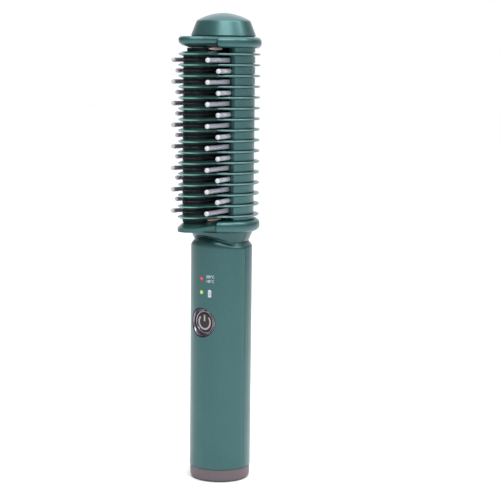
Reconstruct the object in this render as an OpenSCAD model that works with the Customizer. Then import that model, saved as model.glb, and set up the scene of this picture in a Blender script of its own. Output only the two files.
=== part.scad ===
// Cordless hair straightening brush, standing on its end cap.
// The origin is the centre of the flat base and +Z runs up the handle to the dome.
// The comb fins, the pins, the lights and the power button face -Y.

/* [Handle] */
// Outer diameter of the handle
handle_d = 35; // [34:0.5:40]
// Wall thickness of the two handle shells
shell_wall = 1.8; // [1.4:0.1:2.2]
// Length of the handle from the end cap's seam to the shoulder
grip_h = 127.4; // [124:0.2:150]

/* [End cap] */
// Height of the end cap
cap_h = 7; // [6:0.2:10]
// How much smaller the cap's radius is than the handle's
cap_step = 0.3; // [0:0.1:0.8]
// Radius of the rounded edge round the base
cap_fillet = 2.2; // [1:0.1:2.8]

/* [Neck] */
// Height from the shoulder to the underside of the lower flange
neck_h = 9.4; // [8:0.2:14]
// Depth of the groove that runs round the neck
neck_groove = 2; // [1:0.1:2.4]
// Extra depth of the thumb scoop at the front of the neck
scoop_depth = 0.6; // [0.4:0.1:1.4]

/* [Head] */
// Height of the lower flange
flange_lo_h = 7; // [6.6:0.1:9]
// Height of the upper flange
flange_hi_h = 6.2; // [5.6:0.1:8]
// Outer radius of both flanges
flange_r = 21.5; // [21:0.1:23]
// Outer radius of the wall behind the comb
back_r = 18; // [17.5:0.1:18.6]
// Outer radius of the thin ribs on that wall
rib_r = 20.9; // [20:0.1:21.4]
// Thickness of a rib
rib_t = 1.3; // [0.8:0.1:2]
// Height of the dome cap
dome_h = 13; // [11:0.5:18]
// Radius of the dome cap at its base
dome_base_r = 18.2; // [17.6:0.1:19]
// Radius of the dome cap at the ridge where its crown starts
dome_ridge_r = 15.1; // [14:0.1:16.4]
// Height of the crown above that ridge
dome_crown = 4.4; // [3:0.1:6]

/* [Comb] */
// Number of comb fins
fin_count = 16; // [10:1:20]
// Distance from one fin to the next
fin_pitch = 6; // [5.8:0.1:7]
// Thickness of a fin at its root
fin_t = 2.8; // [2.2:0.1:2.9]
// Depth of the bevel that sharpens a fin's edge
fin_bevel = 2.8; // [1.5:0.1:3.2]
// Distance from the axis to the nose of a fin
comb_reach = 34.3; // [32:0.1:36]
// Half width of the fins along their straight flanks
comb_half_w = 8.3; // [7.8:0.1:9]
// Half distance between the two seams where fins and ribs meet
seam_x = 11; // [10.6:0.1:11.6]
// Half thickness of the ridge that ties the fins together
ridge_half_w = 5.4; // [4.4:0.1:6]

/* [Pins] */
// Diameter of a pin
pin_d = 2.5; // [1.8:0.1:2.5]
// Diameter of a pin's rounded tip
tip_d = 3; // [2.6:0.1:3.2]
// Length of a pin's rounded tip
tip_l = 2.6; // [2:0.1:4]
// Reach of the long pins from the carrier's face, tip included
pin_long = 26.6; // [25:0.1:28]
// Reach of the short pins from the carrier's face, tip included
pin_short = 20.6; // [19:0.1:24]

/* [Controls] */
// Outer diameter of the button's bezel
bezel_d = 16.8; // [16:0.1:18]
// Diameter of the power button
button_d = 10.6; // [9:0.1:11]
// Travel of the power button
button_travel = 0.6; // [0.3:0.05:0.8]
// Distance from the shoulder down to the button's centre
button_drop = 42.3; // [40:0.1:46]
// Distance from the shoulder down to the upper light
light_drop = 17; // [15:0.1:19]
// Distance between the two lights
light_gap = 7.8; // [5:0.1:9]
// Diameter of a light
light_d = 2.6; // [1.8:0.1:3.2]

/* [Battery] */
// Room left across the bore beside the battery cell
cell_slack = 13; // [12.8:0.1:14]
// Length of the battery cell
cell_l = 65.2; // [60:0.1:66]

/* [Charging port] */
// Width of the charging port's metal shell
port_w = 8.94; // [8:0.01:9.2]
// Thickness of the charging port's metal shell
port_t = 3.26; // [3:0.01:3.4]
// Distance from the handle's bore in to the port's centre
port_inward = 10.1; // [9.9:0.1:10.6]

/* [Hidden] */
$fn = 64;

// Colours of the finishes
shell_green = "#4E7573";
fin_green = "#1D4640";
cap_bronze = "#73656B";
bezel_grey = "#78707A";
carrier_green = "#22403B";
button_brown = "#554648";
board_green = "#1F4A2E";
steel = "#B9BCC0";

// Clearances: between fixed pieces, round screws, round what moves
fit_gap = 0.1;
screw_gap = 0.05;
move_gap = 0.25;
// A length past every wall
big = 80;

// Radii of the handle and levels up the axis
handle_r = handle_d / 2;
bore_r = handle_r - shell_wall;
z_shoulder = cap_h + grip_h;
z_lo = z_shoulder + neck_h;
z_head = z_lo + flange_lo_h;
first_fin_rise = 2.3;
last_fin_drop = 3.4;
z_fin = z_head + first_fin_rise;
z_hi = z_fin + (fin_count - 1) * fin_pitch + last_fin_drop;
z_top = z_hi + flange_hi_h;
dome_reveal = 0.3;
z_dome = z_top + dome_reveal;

// Walls of the head; names that end in _front are distances from the axis towards -Y
web_t = 3;
back_wall = 1.8;
back_in_r = back_r - back_wall;
flange_lo_round = 2.9;
flange_hi_round = 2.6;
plate_front = 9;
wall_front = 8.8;
seam_front = sqrt(rib_r * rib_r - seam_x * seam_x);

// The comb's lower plate is thinner than the flange that it completes
plate_lo_lift = 1.2;
plate_edge = 2.2;
plate_lo_rise = 3.1;
plate_lo_z = z_lo + plate_lo_lift;
comb_z0 = plate_lo_z + plate_edge + plate_lo_rise + fit_gap;
comb_z1 = z_hi - fit_gap;
comb_nose_start = 25;
ridge_setback = 2.9;

// Block that holds the heater, from core_front to core_back behind the axis
core_half_w = 6.8;
core_front = 12.5;
core_back = 9;
slot_half_w = 1.25;
slot_front = 7;
slot_roof = 6;

// Neck profile
groove_rise = 3.8;
scoop_rise = 4.6;
neck_flare = 0.4;
neck_wall = 1.7;
neck_bore_r = handle_r - neck_groove - scoop_depth - neck_wall;
collar_slope = 29.3;
collar_drop = 0.8;
wire_hole_d = 7;

// Screws
screw_d = 2.2;
screw_head_d = 4.4;
screw_head_h = 1.6;
boss_d = 6;
comb_screw_x = 4.1;
comb_screw_back = 5;
plate_screw_front = 13;
comb_screw_l = 11;
comb_hole_l = 8;

// Pins and the carriers that they grow from
carrier_front = 3.2;
carrier_t = 1.8;
carrier_lip = 1.5;
carrier_lip_front = 8.5;
long_x = 8.5;
short_x = 10.3;
long_splay = 8.7;
short_splay = 13.3;
pin_drop = 0.3;
pin_gap = 0.03;

// Pegs of the dome cap in the top web
peg_d = 5;
peg_x = dome_ridge_r - 5.1;
peg_front = 2;
peg_l = 2.6;

// Heater: a flat element between two insulating sheets, pressed into the slot by a clamp
heater_t = 1.4;
heater_front = 6.5;
heater_back = 5.5;
heater_rise = 10;
heater_roof = 2;
insulator_t = 0.5;
z_heater = comb_z0 + heater_rise;
heater_l = comb_z1 - slot_roof - heater_roof - z_heater;
clamp_t = 1.2;
clamp_half_w = 6;
clamp_margin = 12;
clamp_pad_margin = 6;
clamp_screw_l = 5;
clamp_back = core_back + 0.05;
z_clamp = z_heater + clamp_margin;
clamp_l = heater_l - 2 * clamp_margin;
lead_d = 1.3;
lead_x = 4.6;
lead_end = 5;

// Button stack, from the bezel's rim inwards to the main board
z_button = z_shoulder - button_drop;
bezel_sink = 2.3;
bezel_front = handle_r - bezel_sink;
bezel_t = 2.8;
well_floor_front = bezel_front - bezel_t;
well_floor_t = 1.2;
well_wall = 1.4;
button_sink = 0.6;
button_front = bezel_front - button_sink;
skirt_d = button_d + 2.2;
skirt_t = 0.7;
skirt_front = well_floor_front + move_gap + button_travel;
plunger_d = 3.2;
plunger_l = 2.2;
stem_d = 4;
stem_l = 1.2;
plunger_front = skirt_front - stem_l;
switch_w = 6;
switch_h = 2.6;
switch_front = plunger_front - button_travel - 0.3;
symbol_t = 0.12;
symbol_d = 9.2;
symbol_stroke = 1.1;
symbol_bar = 3.8;

// Main board, held on three bosses of the front shell
board_front = switch_front - switch_h;
board_t = 1.6;
board_w = 21;
board_l = 66;
board_drop = 8;
z_board = z_shoulder - board_drop - board_l;
board_boss_d = 5;
board_screw_l = 6;
board_holes = [[-8, z_board + 3], [8, z_board + 3], [0, z_board + board_l - 3]];
chip_w = 7;
chip_rise = 17;
inductor_w = 8;
inductor_rise = 7;
transistor_drop = 6;
transistor_x = 6;

// Lights
z_light_hi = z_shoulder - light_drop;
z_light_lo = z_light_hi - light_gap;
led_t = 0.7;

// Battery, behind the main board; what its bottom clears is the charging board
cell_d = 2 * bore_r - cell_slack;
cell_gap = 0.6;
cell_back = cell_d / 2 + cell_gap + board_t - board_front;
nub_d = 6;
nub_h = 0.6;
tab_t = 0.3;
tab_w = 6;
tab_gap = 0.05;
tab_up = 6;
tab_overlap = 5;
cradle_gap = 0.15;
cradle_t = 1.2;
cradle_end = 1.4;
cradle_foot_w = 8;

// Charging port and its board, behind the axis
port_back = bore_r - port_inward;
port_l = 7.3;
port_inset = 1;
port_wall = 0.3;
port_slot_gap = 0.35;
charge_board_w = 12;
charge_board_t = 1;
charge_board_l = 16;
charge_board_back = port_back + port_t / 2 + 0.05;
rail_t = 1.2;
rail_h = 7;

// End cap
cap_r = handle_r - cap_step;
cap_floor = 2.4;
cap_skirt_h = 5;
cap_skirt_t = 1.4;
cap_screw = bore_r - 3.7;
cap_screw_l = 12;
cap_head_depth = 1.7;
cap_boss_h = 10;
gasket_t = 0.3;
z_grip = cap_h + gasket_t;
z_boss = z_grip + fit_gap;
cell_rise = 5.5;
z_cell = cap_floor + fit_gap + charge_board_l + cell_rise;

// Points of a round stretch about (cx, cy) from angle a0 to a1
function arc(cx, cy, r, a0, a1, n = 8) =
    [for (i = [0:n]) let (a = a0 + (a1 - a0) * i / n) [cx + r * cos(a), cy + r * sin(a)]];

// Points of the neck's profile: down into the groove over a height rise, then out again to the flange
function neck_points(depth, rise) = concat(
    [for (i = [0:8]) [handle_r - depth * (1 - cos(22.5 * i)) / 2, z_shoulder + rise * i / 8]],
    [[handle_r + neck_flare, z_lo]]);

// Section of the handle and neck, up to a height past above the neck
function handle_points(depth, rise, past) = concat([[0, z_grip], [handle_r, z_grip]],
    neck_points(depth, rise), [[handle_r + neck_flare, z_lo + past], [0, z_lo + past]]);

// Outline of a fin or a head plate seen from above, drawn in by inset, with its nose towards -Y
function comb_points(inset, back, corner) =
    let (x = seam_x - inset, x_back = min(core_half_w - 0.8, seam_x - inset - 0.5))
    concat([for (i = [0:18]) let (a = 10 * i)
        [(comb_half_w - inset) * cos(a),
            -(comb_nose_start + (comb_reach - comb_nose_start - inset) * sin(a))]],
    [[-x, inset / 2 - seam_front], [-x, -back - corner], [-x_back, -back],
        [x_back, -back], [x, -back - corner], [x, inset / 2 - seam_front]]);

function fin_points(inset) = comb_points(inset, core_front - 0.4, 2.8);
function plate_points(inset) = comb_points(inset, plate_front + fit_gap, 0);

// Turns a shape drawn in XY so that its height runs out through the front of the handle
module facing_front(depth, z, x = 0) {
    translate([x, -depth, z]) rotate([90, 0, 0]) children();
}

module front_half(gap) {
    translate([-big, -big, -big]) cube([2 * big, big - gap, 6 * big]);
}

module rear_half(gap) {
    translate([-big, gap, -big]) cube([2 * big, big, 6 * big]);
}

// Everything further forward than depth between two heights, no wider than half_w each way
module front_slot(depth, half_w, z0, z1) {
    translate([-half_w, -big, z0]) cube([2 * half_w, big - depth, z1 - z0]);
}

// Section of a flange's rounded rim
module rim_section(z, h, round_r) {
    translate([back_in_r, z]) square([flange_r - round_r - back_in_r, h]);
    intersection() {
        translate([flange_r - round_r, z]) {
            translate([-0.1, round_r]) square([round_r + 0.1, h - 2 * round_r]);
            translate([0, round_r]) circle(r = round_r);
            translate([0, h - round_r]) circle(r = round_r);
        }
        translate([back_in_r, z]) square([flange_r, h]);
    }
}

// A slot with round ends, centred, width w and thickness t
module stadium(w, t) {
    square([w - t, t], center = true);
    for (s = [-1, 1]) translate([s * (w - t) / 2, 0]) circle(d = t);
}

// Screw whose head lies below z = 0, with a cross recess
module screw(l) {
    cylinder(d = screw_d, h = l);
    difference() {
        translate([0, 0, -screw_head_h]) cylinder(d = screw_head_d, h = screw_head_h);
        translate([-1.3, -0.3, -screw_head_h - 1]) cube([2.6, 0.6, 1.7]);
        translate([-0.3, -1.3, -screw_head_h - 1]) cube([0.6, 2.6, 1.7]);
    }
}

module screw_hole(l) {
    cylinder(d = screw_d + 2 * screw_gap, h = l);
}

module screw_recess(depth) {
    translate([0, 0, -1]) cylinder(d = screw_head_d + 4 * fit_gap, h = depth + 1);
}

// The places where screws hold the comb: two at each end, and one through each head plate
module at_comb_screws_low() {
    for (s = [-1, 1]) translate([s * comb_screw_x, comb_screw_back, z_lo]) children();
}

module at_comb_screws_high() {
    for (s = [-1, 1]) translate([s * comb_screw_x, comb_screw_back, z_top])
        mirror([0, 0, 1]) children();
}

module at_plate_screw_low() {
    translate([0, -plate_screw_front, z_lo]) children();
}

module at_plate_screw_high() {
    translate([0, -plate_screw_front, z_top]) mirror([0, 0, 1]) children();
}

// The clamp's two screws, one near each end, from behind into the block
module at_clamp_screws() {
    for (s = [-1, 1])
        translate([s * comb_screw_x, clamp_back + clamp_t, z_clamp + (s > 0 ? clamp_l - 5 : 5)])
            rotate([90, 0, 0]) children();
}

// Places the children at every pin of one kind between two fins: row 1 long, row 0 short
module at_pins(row) {
    root = row == 1 ? long_x : short_x;
    splay = row == 1 ? long_splay : short_splay;
    for (i = [1:fin_count - 1])
        if (i % 2 == row)
            for (s = [-1, 1])
                translate([s * root, -carrier_front, z_fin + (i - 0.5) * fin_pitch - pin_drop])
                    rotate([90, 0, s * splay]) children();
}

module at_dome_pegs() {
    for (s = [-1, 1]) translate([s * peg_x, -peg_front, z_top]) children();
}

// Round wire from p to q with a slightly larger ball at its end
module wire(p, q, d) {
    v = q - p;
    translate(p) rotate([0, acos(v[2] / norm(v)), atan2(v[1], v[0])]) cylinder(d = d, h = norm(v));
    translate(q) sphere(d = d + 0.2);
}

// Boss for a cap screw and the rib that ties it to the handle wall; side is 1 at the rear
module cap_boss(side) {
    difference() {
        union() {
            translate([0, side * cap_screw, z_boss]) cylinder(d = boss_d, h = cap_boss_h);
            intersection() {
                translate([-1.2, side > 0 ? cap_screw : -cap_screw - boss_d, z_boss])
                    cube([2.4, boss_d, cap_boss_h]);
                cylinder(r = bore_r + 0.4, h = big);
            }
        }
        translate([0, side * cap_screw, 0]) screw_hole(z_boss + cap_boss_h - 1.5);
    }
}

// Rear half of the handle and neck, both flanges, the back wall and its ribs, in one moulding
module rear_shell() {
    color(shell_green) {
        intersection() {
            rear_half(fit_gap / 2);
            difference() {
                rotate_extrude() polygon(handle_points(neck_groove, groove_rise, 0.5));
                translate([0, 0, cap_h - 1]) cylinder(r = bore_r, h = grip_h + 1 - shell_wall);
                translate([0, 0, cap_h]) cylinder(r = neck_bore_r, h = grip_h + neck_h + 1);
            }
        }
        difference() {
            union() {
                rotate_extrude() rim_section(z_lo, flange_lo_h, flange_lo_round);
                translate([0, 0, z_lo]) cylinder(r = back_in_r + 0.1, h = web_t);
                rotate_extrude() rim_section(z_hi, flange_hi_h, flange_hi_round);
                translate([0, 0, z_top - web_t]) cylinder(r = back_in_r + 0.1, h = web_t);
                at_comb_screws_low() cylinder(d = boss_d, h = comb_z0 - z_lo - fit_gap);
                at_comb_screws_high() cylinder(d = boss_d, h = z_top - comb_z1 - fit_gap);
            }
            front_slot(plate_front, seam_x + fit_gap, z_lo - 1, z_top + 1);
            at_comb_screws_low() translate([0, 0, -1]) screw_hole(flange_lo_h + 2);
            at_comb_screws_high() translate([0, 0, -1]) screw_hole(flange_hi_h + 2);
            at_comb_screws_low() screw_recess(screw_head_h);
            at_comb_screws_high() screw_recess(screw_head_h);
            translate([0, 0, z_lo - 1]) cylinder(d = wire_hole_d, h = web_t + 2);
            at_dome_pegs() translate([0, 0, -web_t - 1]) cylinder(d = peg_d + 2 * fit_gap, h = web_t + 2);
        }
        difference() {
            translate([0, 0, z_head - 0.1]) cylinder(r = back_r, h = z_hi - z_head + 0.2);
            translate([0, 0, z_head - 1]) cylinder(r = back_in_r, h = z_hi - z_head + 2);
            front_slot(wall_front, big / 2, z_head - 1, z_hi + 1);
        }
        difference() {
            for (i = [0:fin_count - 1])
                translate([0, 0, z_fin + i * fin_pitch - rib_t / 2]) cylinder(r = rib_r, h = rib_t);
            translate([0, 0, z_head - 1]) cylinder(r = back_in_r + 0.3, h = z_hi - z_head + 2);
            front_slot(0, seam_x + fit_gap, z_head - 1, z_hi + 1);
        }
        cap_boss(1);
    }
}

// Front half of the handle, with the scooped neck, the button's well and the light holes
module front_shell() {
    color(shell_green) difference() {
        union() {
            intersection() {
                front_half(fit_gap / 2);
                difference() {
                    union() {
                        rotate_extrude() polygon(handle_points(neck_groove + scoop_depth, scoop_rise, 0.2));
                        difference() {
                            rotate_extrude() polygon(handle_points(neck_groove, groove_rise, 0.2));
                            translate([0, 0, z_shoulder - collar_drop]) rotate([-collar_slope, 0, 0])
                                translate([-big, -big, -3 * big]) cube([2 * big, 2 * big, 3 * big]);
                        }
                    }
                    translate([0, 0, cap_h - 1]) cylinder(r = bore_r, h = grip_h + 1 - shell_wall);
                    translate([0, 0, cap_h]) cylinder(r = neck_bore_r, h = grip_h + neck_h + 1);
                }
            }
            intersection() {
                union() {
                    facing_front(well_floor_front - well_floor_t, z_button)
                        cylinder(d = bezel_d + 2 * well_wall, h = handle_r);
                    for (p = board_holes)
                        facing_front(board_front + fit_gap, p[1], p[0])
                            cylinder(d = board_boss_d, h = handle_r);
                }
                cylinder(r = bore_r + 0.4, h = z_shoulder);
            }
        }
        facing_front(well_floor_front, z_button) cylinder(d = bezel_d + 2 * fit_gap, h = handle_r);
        facing_front(0, z_button) cylinder(d = switch_w * sqrt(2) + 0.4, h = handle_r);
        for (z = [z_light_hi, z_light_lo])
            facing_front(0, z) cylinder(d = light_d + 2 * fit_gap, h = handle_r + 1);
        for (p = board_holes)
            facing_front(0, p[1], p[0]) screw_hole(board_front - board_t + board_screw_l + 0.2);
        translate([0, 0, z_lo - fit_gap / 2]) cylinder(r = big, h = 1);
    }
    color(shell_green) cap_boss(-1);
}

// Cast block with the heater slot, the ridge and all fins
module heat_comb() {
    color(fin_green) difference() {
        union() {
            translate([-core_half_w, -core_front, comb_z0])
                cube([2 * core_half_w, core_front + core_back, comb_z1 - comb_z0]);
            translate([0, 0, comb_z0]) linear_extrude(comb_z1 - comb_z0)
                polygon(concat([[ridge_half_w, 1 - core_front]],
                    arc(0, ridge_setback + ridge_half_w - comb_reach, ridge_half_w, 0, -180, 10),
                    [[-ridge_half_w, 1 - core_front]]));
            for (i = [0:fin_count - 1])
                translate([0, 0, z_fin + i * fin_pitch]) hull() {
                    linear_extrude(0.4, center = true) polygon(fin_points(0));
                    linear_extrude(fin_t, center = true) polygon(fin_points(fin_bevel));
                }
        }
        translate([-slot_half_w, -slot_front, comb_z0 - 1])
            cube([2 * slot_half_w, slot_front + core_back + 1, comb_z1 - comb_z0 + 1 - slot_roof]);
        for (z = [comb_z0 - 1, comb_z1 - comb_hole_l]) {
            for (s = [-1, 1])
                translate([s * comb_screw_x, comb_screw_back, z])
                    cylinder(d = screw_d + 2 * screw_gap, h = comb_hole_l + 1, $fn = 24);
            translate([0, -plate_screw_front, z])
                cylinder(d = screw_d + 2 * screw_gap, h = comb_hole_l + 1, $fn = 24);
        }
        at_clamp_screws() cylinder(d = screw_d + 2 * screw_gap, h = clamp_screw_l + 0.5, $fn = 24);
    }
}

// Plate with the comb's outline that completes the upper flange
module head_plate_top() {
    color(shell_green) difference() {
        hull() {
            translate([0, 0, z_top - 2.1]) linear_extrude(2.1) polygon(plate_points(1.3));
            translate([0, 0, z_top - 3.1]) linear_extrude(1.6) polygon(plate_points(0));
            translate([0, 0, z_hi]) linear_extrude(flange_hi_h - 0.2) polygon(plate_points(5.3));
        }
        at_plate_screw_high() screw_hole(big / 2);
        at_plate_screw_high() screw_recess(screw_head_h);
    }
}

// Plate with the comb's outline that completes the lower flange, with a spigot down to the neck
module head_plate_bottom() {
    color(shell_green) difference() {
        union() {
            hull() {
                translate([0, 0, plate_lo_z]) linear_extrude(plate_edge) polygon(plate_points(0));
                translate([0, 0, plate_lo_z]) linear_extrude(plate_edge + plate_lo_rise)
                    polygon(plate_points(3.5));
            }
            intersection() {
                translate([0, 0, z_lo]) cylinder(r = handle_r - 0.3, h = plate_lo_lift + 0.5);
                front_slot(plate_front + fit_gap, seam_x - fit_gap, z_lo, z_head);
            }
        }
        at_plate_screw_low() screw_hole(flange_lo_h + 1);
        at_plate_screw_low() screw_recess(screw_head_h);
    }
}

// Hollow cap that closes the top, seated on the web by an inner ring and two pegs
module dome_cap() {
    z_ridge = z_dome + dome_h - dome_crown;
    crown_r = (dome_ridge_r * dome_ridge_r + dome_crown * dome_crown) / (2 * dome_crown);
    wall = 1.8;
    half = asin(dome_ridge_r / crown_r);
    z_mid = z_dome + dome_h - crown_r;
    color(shell_green) {
        rotate_extrude() polygon(concat(
            [[dome_base_r - wall, z_dome], [dome_base_r - 0.4, z_dome], [dome_base_r, z_dome + 0.4],
                [dome_ridge_r + 0.12, z_ridge - 0.4]],
            arc(0, z_mid, crown_r, 90 - half + 0.8, 90, 14),
            arc(0, z_mid, crown_r - wall, 90, 90 - half + 3, 14)));
        difference() {
            translate([0, 0, z_top]) cylinder(r = dome_base_r - wall + 0.6, h = dome_reveal + 0.8);
            translate([0, 0, z_top - 1]) cylinder(r = dome_base_r - wall - 1.2, h = dome_reveal + 3);
        }
        at_dome_pegs() translate([0, 0, -peg_l]) cylinder(d = peg_d, h = peg_l + z_ridge + 0.4 - z_top);
    }
}

// Strips along both flanks of the block that hold the pins
module pin_carriers() {
    z0 = z_lo + web_t + fit_gap;
    h = z_top - web_t - fit_gap - z0;
    color(carrier_green) difference() {
        translate([0, 0, z0]) {
            intersection() {
                cylinder(r = back_in_r - fit_gap, h = h);
                for (s = [-1, 1])
                    translate([s > 0 ? core_half_w + fit_gap : -core_half_w - fit_gap - big,
                        -carrier_front, 0]) cube([big, carrier_t, h]);
            }
            difference() {
                cylinder(r = back_in_r - fit_gap, h = h);
                translate([0, 0, -1]) cylinder(r = back_in_r - fit_gap - carrier_lip, h = h + 2);
                translate([-big, carrier_t - carrier_front, -1]) cube([2 * big, big, h + 2]);
                front_slot(carrier_lip_front, big, -1, h + 1);
            }
        }
        for (row = [0, 1])
            at_pins(row) translate([0, 0, -carrier_t - 1])
                cylinder(d = pin_d + 2 * pin_gap, h = carrier_t + carrier_lip_front);
    }
}

module pins(row, reach) {
    color("#BEBEC8") at_pins(row) translate([0, 0, 0.1 - carrier_t])
        cylinder(d = pin_d, h = reach - tip_l + carrier_t - 0.1);
}

module pins_long() { pins(1, pin_long); }

module pins_short() { pins(0, pin_short); }

module pin_tips(row, reach) {
    color("#F0F0F2") at_pins(row) {
        translate([0, 0, reach - tip_l]) cylinder(d = tip_d, h = tip_l - tip_d / 2);
        intersection() {
            translate([0, 0, reach - tip_d / 2]) sphere(d = tip_d);
            translate([-tip_d, -tip_d, reach - tip_l]) cube([2 * tip_d, 2 * tip_d, tip_l + 1]);
        }
    }
}

module pin_tips_long() { pin_tips(1, pin_long); }

module pin_tips_short() { pin_tips(0, pin_short); }

module heater_plate() {
    color("#E6E2DA") translate([-heater_t / 2, -heater_front, z_heater])
        cube([heater_t, heater_front + heater_back, heater_l]);
}

module heater_insulators() {
    color("#D8A860") for (s = [-1, 1])
        translate([s > 0 ? heater_t / 2 : -heater_t / 2 - insulator_t, -heater_front - 0.4, z_heater - 1])
            cube([insulator_t, heater_front + heater_back + 0.8, heater_l + 2]);
}

module heater_clamp() {
    color(steel) difference() {
        union() {
            translate([-clamp_half_w, clamp_back, z_clamp]) cube([2 * clamp_half_w, clamp_t, clamp_l]);
            translate([0.15 - slot_half_w, heater_back + 0.45, z_clamp + clamp_pad_margin])
                cube([2 * slot_half_w - 0.3, clamp_back - heater_back, clamp_l - 2 * clamp_pad_margin]);
        }
        at_clamp_screws() translate([0, 0, -1]) screw_hole(clamp_t + 2);
    }
}

module clamp_screws() {
    color(steel) at_clamp_screws() screw(clamp_screw_l);
}

// Heat sensor and cut-out fuse on the rear face of the block, above the clamp
module thermistor() {
    color("#2A2A2C") translate([-comb_screw_x, core_back + 1, z_clamp + clamp_l + 2])
        cylinder(d = 1.9, h = 4.5);
}

module thermal_fuse() {
    color("#A9ACB0") translate([comb_screw_x, core_back + 1.75, z_clamp + clamp_l + 2])
        cylinder(d = 3.4, h = 9);
}

// Two wires from the heater's lower edge through the web to the rear of the main board
module heater_leads() {
    y_board = lead_d / 2 + tab_gap + board_t - board_front;
    for (s = [-1, 1])
        color(s > 0 ? "#B03028" : "#202022") {
            top = [0, s > 0 ? 1.4 : -1.6, z_heater - 0.05];
            turn = [top[0], top[1], z_lo - 2];
            meet = [s * lead_x, y_board, z_board + board_l + 1];
            wire(top, turn, lead_d);
            wire(turn, meet, lead_d);
            wire(meet, [meet[0], meet[1], z_board + board_l - lead_end], lead_d);
        }
}

module comb_screws() {
    color(steel) {
        at_comb_screws_low() translate([0, 0, screw_head_h]) screw(comb_screw_l);
        at_comb_screws_high() translate([0, 0, screw_head_h]) screw(comb_screw_l);
        at_plate_screw_low() translate([0, 0, screw_head_h]) screw(comb_screw_l);
        at_plate_screw_high() translate([0, 0, screw_head_h]) screw(comb_screw_l);
    }
}

// Round button with a skirt under the bezel's lip and a stem onto the switch plunger
module power_button() {
    color(button_brown) facing_front(0, z_button) {
        translate([0, 0, skirt_front]) cylinder(d = skirt_d, h = skirt_t);
        rotate_extrude() polygon(concat([[0, skirt_front], [button_d / 2, skirt_front]],
            arc(button_d / 2 - 0.4, button_front - 0.4, 0.4, 0, 90, 6), [[0, button_front]]));
        translate([0, 0, plunger_front]) cylinder(d = stem_d, h = stem_l + 0.1);
    }
}

// Power sign on the button: an open ring and a bar
module power_symbol() {
    r = symbol_d / 2;
    color("#B9B4B2") facing_front(button_front, z_button) linear_extrude(symbol_t) {
        difference() {
            circle(r = r);
            circle(r = r - symbol_stroke);
            polygon([[0, 0], [-r * 0.75, r + 1], [r * 0.75, r + 1]]);
        }
        translate([-symbol_stroke / 2, r - symbol_bar]) square([symbol_stroke, symbol_bar]);
    }
}

module switch_plunger() {
    color("#1A1A1C") facing_front(plunger_front - plunger_l, z_button)
        cylinder(d = plunger_d, h = plunger_l);
}

// Ring round the button, with a rounded rim and a lip over the button's skirt
module button_bezel() {
    r_out = bezel_d / 2;
    r_in = button_d / 2 + move_gap;
    r_bore = skirt_d / 2 + move_gap;
    lip = skirt_front + skirt_t + fit_gap;
    color(bezel_grey) facing_front(0, z_button) rotate_extrude() polygon(concat(
        [[r_bore, well_floor_front], [r_out, well_floor_front]],
        arc(r_out - 0.9, bezel_front - 0.9, 0.9, 0, 90, 8),
        arc(r_in + 0.5, bezel_front - 0.5, 0.5, 90, 180, 6),
        [[r_in, lip], [r_bore, lip]]));
}

// Push switch on the main board
module switch_body() {
    color("#2B2B2E") facing_front(board_front, z_button) difference() {
        translate([-switch_w / 2, -switch_w / 2, 0]) cube([switch_w, switch_w, switch_h]);
        translate([0, 0, 0.5]) cylinder(d = plunger_d + 0.4, h = switch_h);
    }
}

module main_board() {
    color(board_green) difference() {
        translate([-board_w / 2, -board_front, z_board]) cube([board_w, board_t, board_l]);
        for (p = board_holes)
            facing_front(board_front - board_t - 1, p[1], p[0])
                cylinder(d = screw_d + 0.4, h = board_t + 2);
    }
}

module board_screws() {
    color(steel) for (p = board_holes)
        facing_front(board_front - board_t, p[1], p[0]) screw(board_screw_l);
}

module control_chip() {
    color("#1C1C1E") facing_front(board_front, z_board + chip_rise)
        translate([-chip_w / 2, -chip_w / 2, 0]) cube([chip_w, chip_w, 0.9]);
}

module power_transistors() {
    color("#1C1C1E") for (s = [-1, 1])
        facing_front(board_front, z_light_lo - transistor_drop, s * transistor_x)
            translate([-2.6, -3, 0]) cube([5.2, 6, 1.1]);
}

module inductor() {
    color("#3C3A3A") facing_front(board_front, z_board + inductor_rise)
        translate([-inductor_w / 2, -inductor_w / 2, 0]) cube([inductor_w, inductor_w, 3.2]);
}

module indicator_leds() {
    color("#E8E4C8") for (z = [z_light_hi, z_light_lo])
        facing_front(board_front, z) translate([-1, -0.6, 0]) cube([2, 1.2, led_t]);
}

// Light pipe from an LED to the handle's surface
module light_lens(z) {
    intersection() {
        facing_front(board_front + led_t + fit_gap, z) cylinder(d = light_d, h = handle_r);
        cylinder(r = handle_r, h = z_shoulder);
    }
}

module heat_light_lens() { color("#E14650") light_lens(z_light_hi); }

module charge_light_lens() { color("#BEDC78") light_lens(z_light_lo); }

module battery_cell() {
    color("#3F7FA8") translate([0, cell_back, z_cell]) {
        cylinder(d = cell_d, h = cell_l);
        translate([0, 0, cell_l - 0.1]) cylinder(d = nub_d, h = nub_h + 0.1);
    }
}

// Half cradle round the back of the cell, with end walls and a foot on the rear shell
module battery_cradle() {
    r_in = cell_d / 2 + cradle_gap;
    z0 = z_cell - tab_t - 2 * tab_gap - cradle_end;
    h = cell_l + nub_h + 2 * (tab_t + 2 * tab_gap + cradle_end);
    color("#35383A") difference() {
        union() {
            translate([0, cell_back, z0]) cylinder(r = r_in + cradle_t, h = h);
            intersection() {
                translate([-cradle_foot_w / 2, cell_back, z0]) cube([cradle_foot_w, big, h]);
                cylinder(r = bore_r - tab_gap, h = z_shoulder);
            }
        }
        translate([0, cell_back, z0 + cradle_end]) cylinder(r = r_in, h = h - 2 * cradle_end);
        translate([-big, cell_back - big, z0 - 1]) cube([2 * big, big, h + 2]);
    }
}

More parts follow.
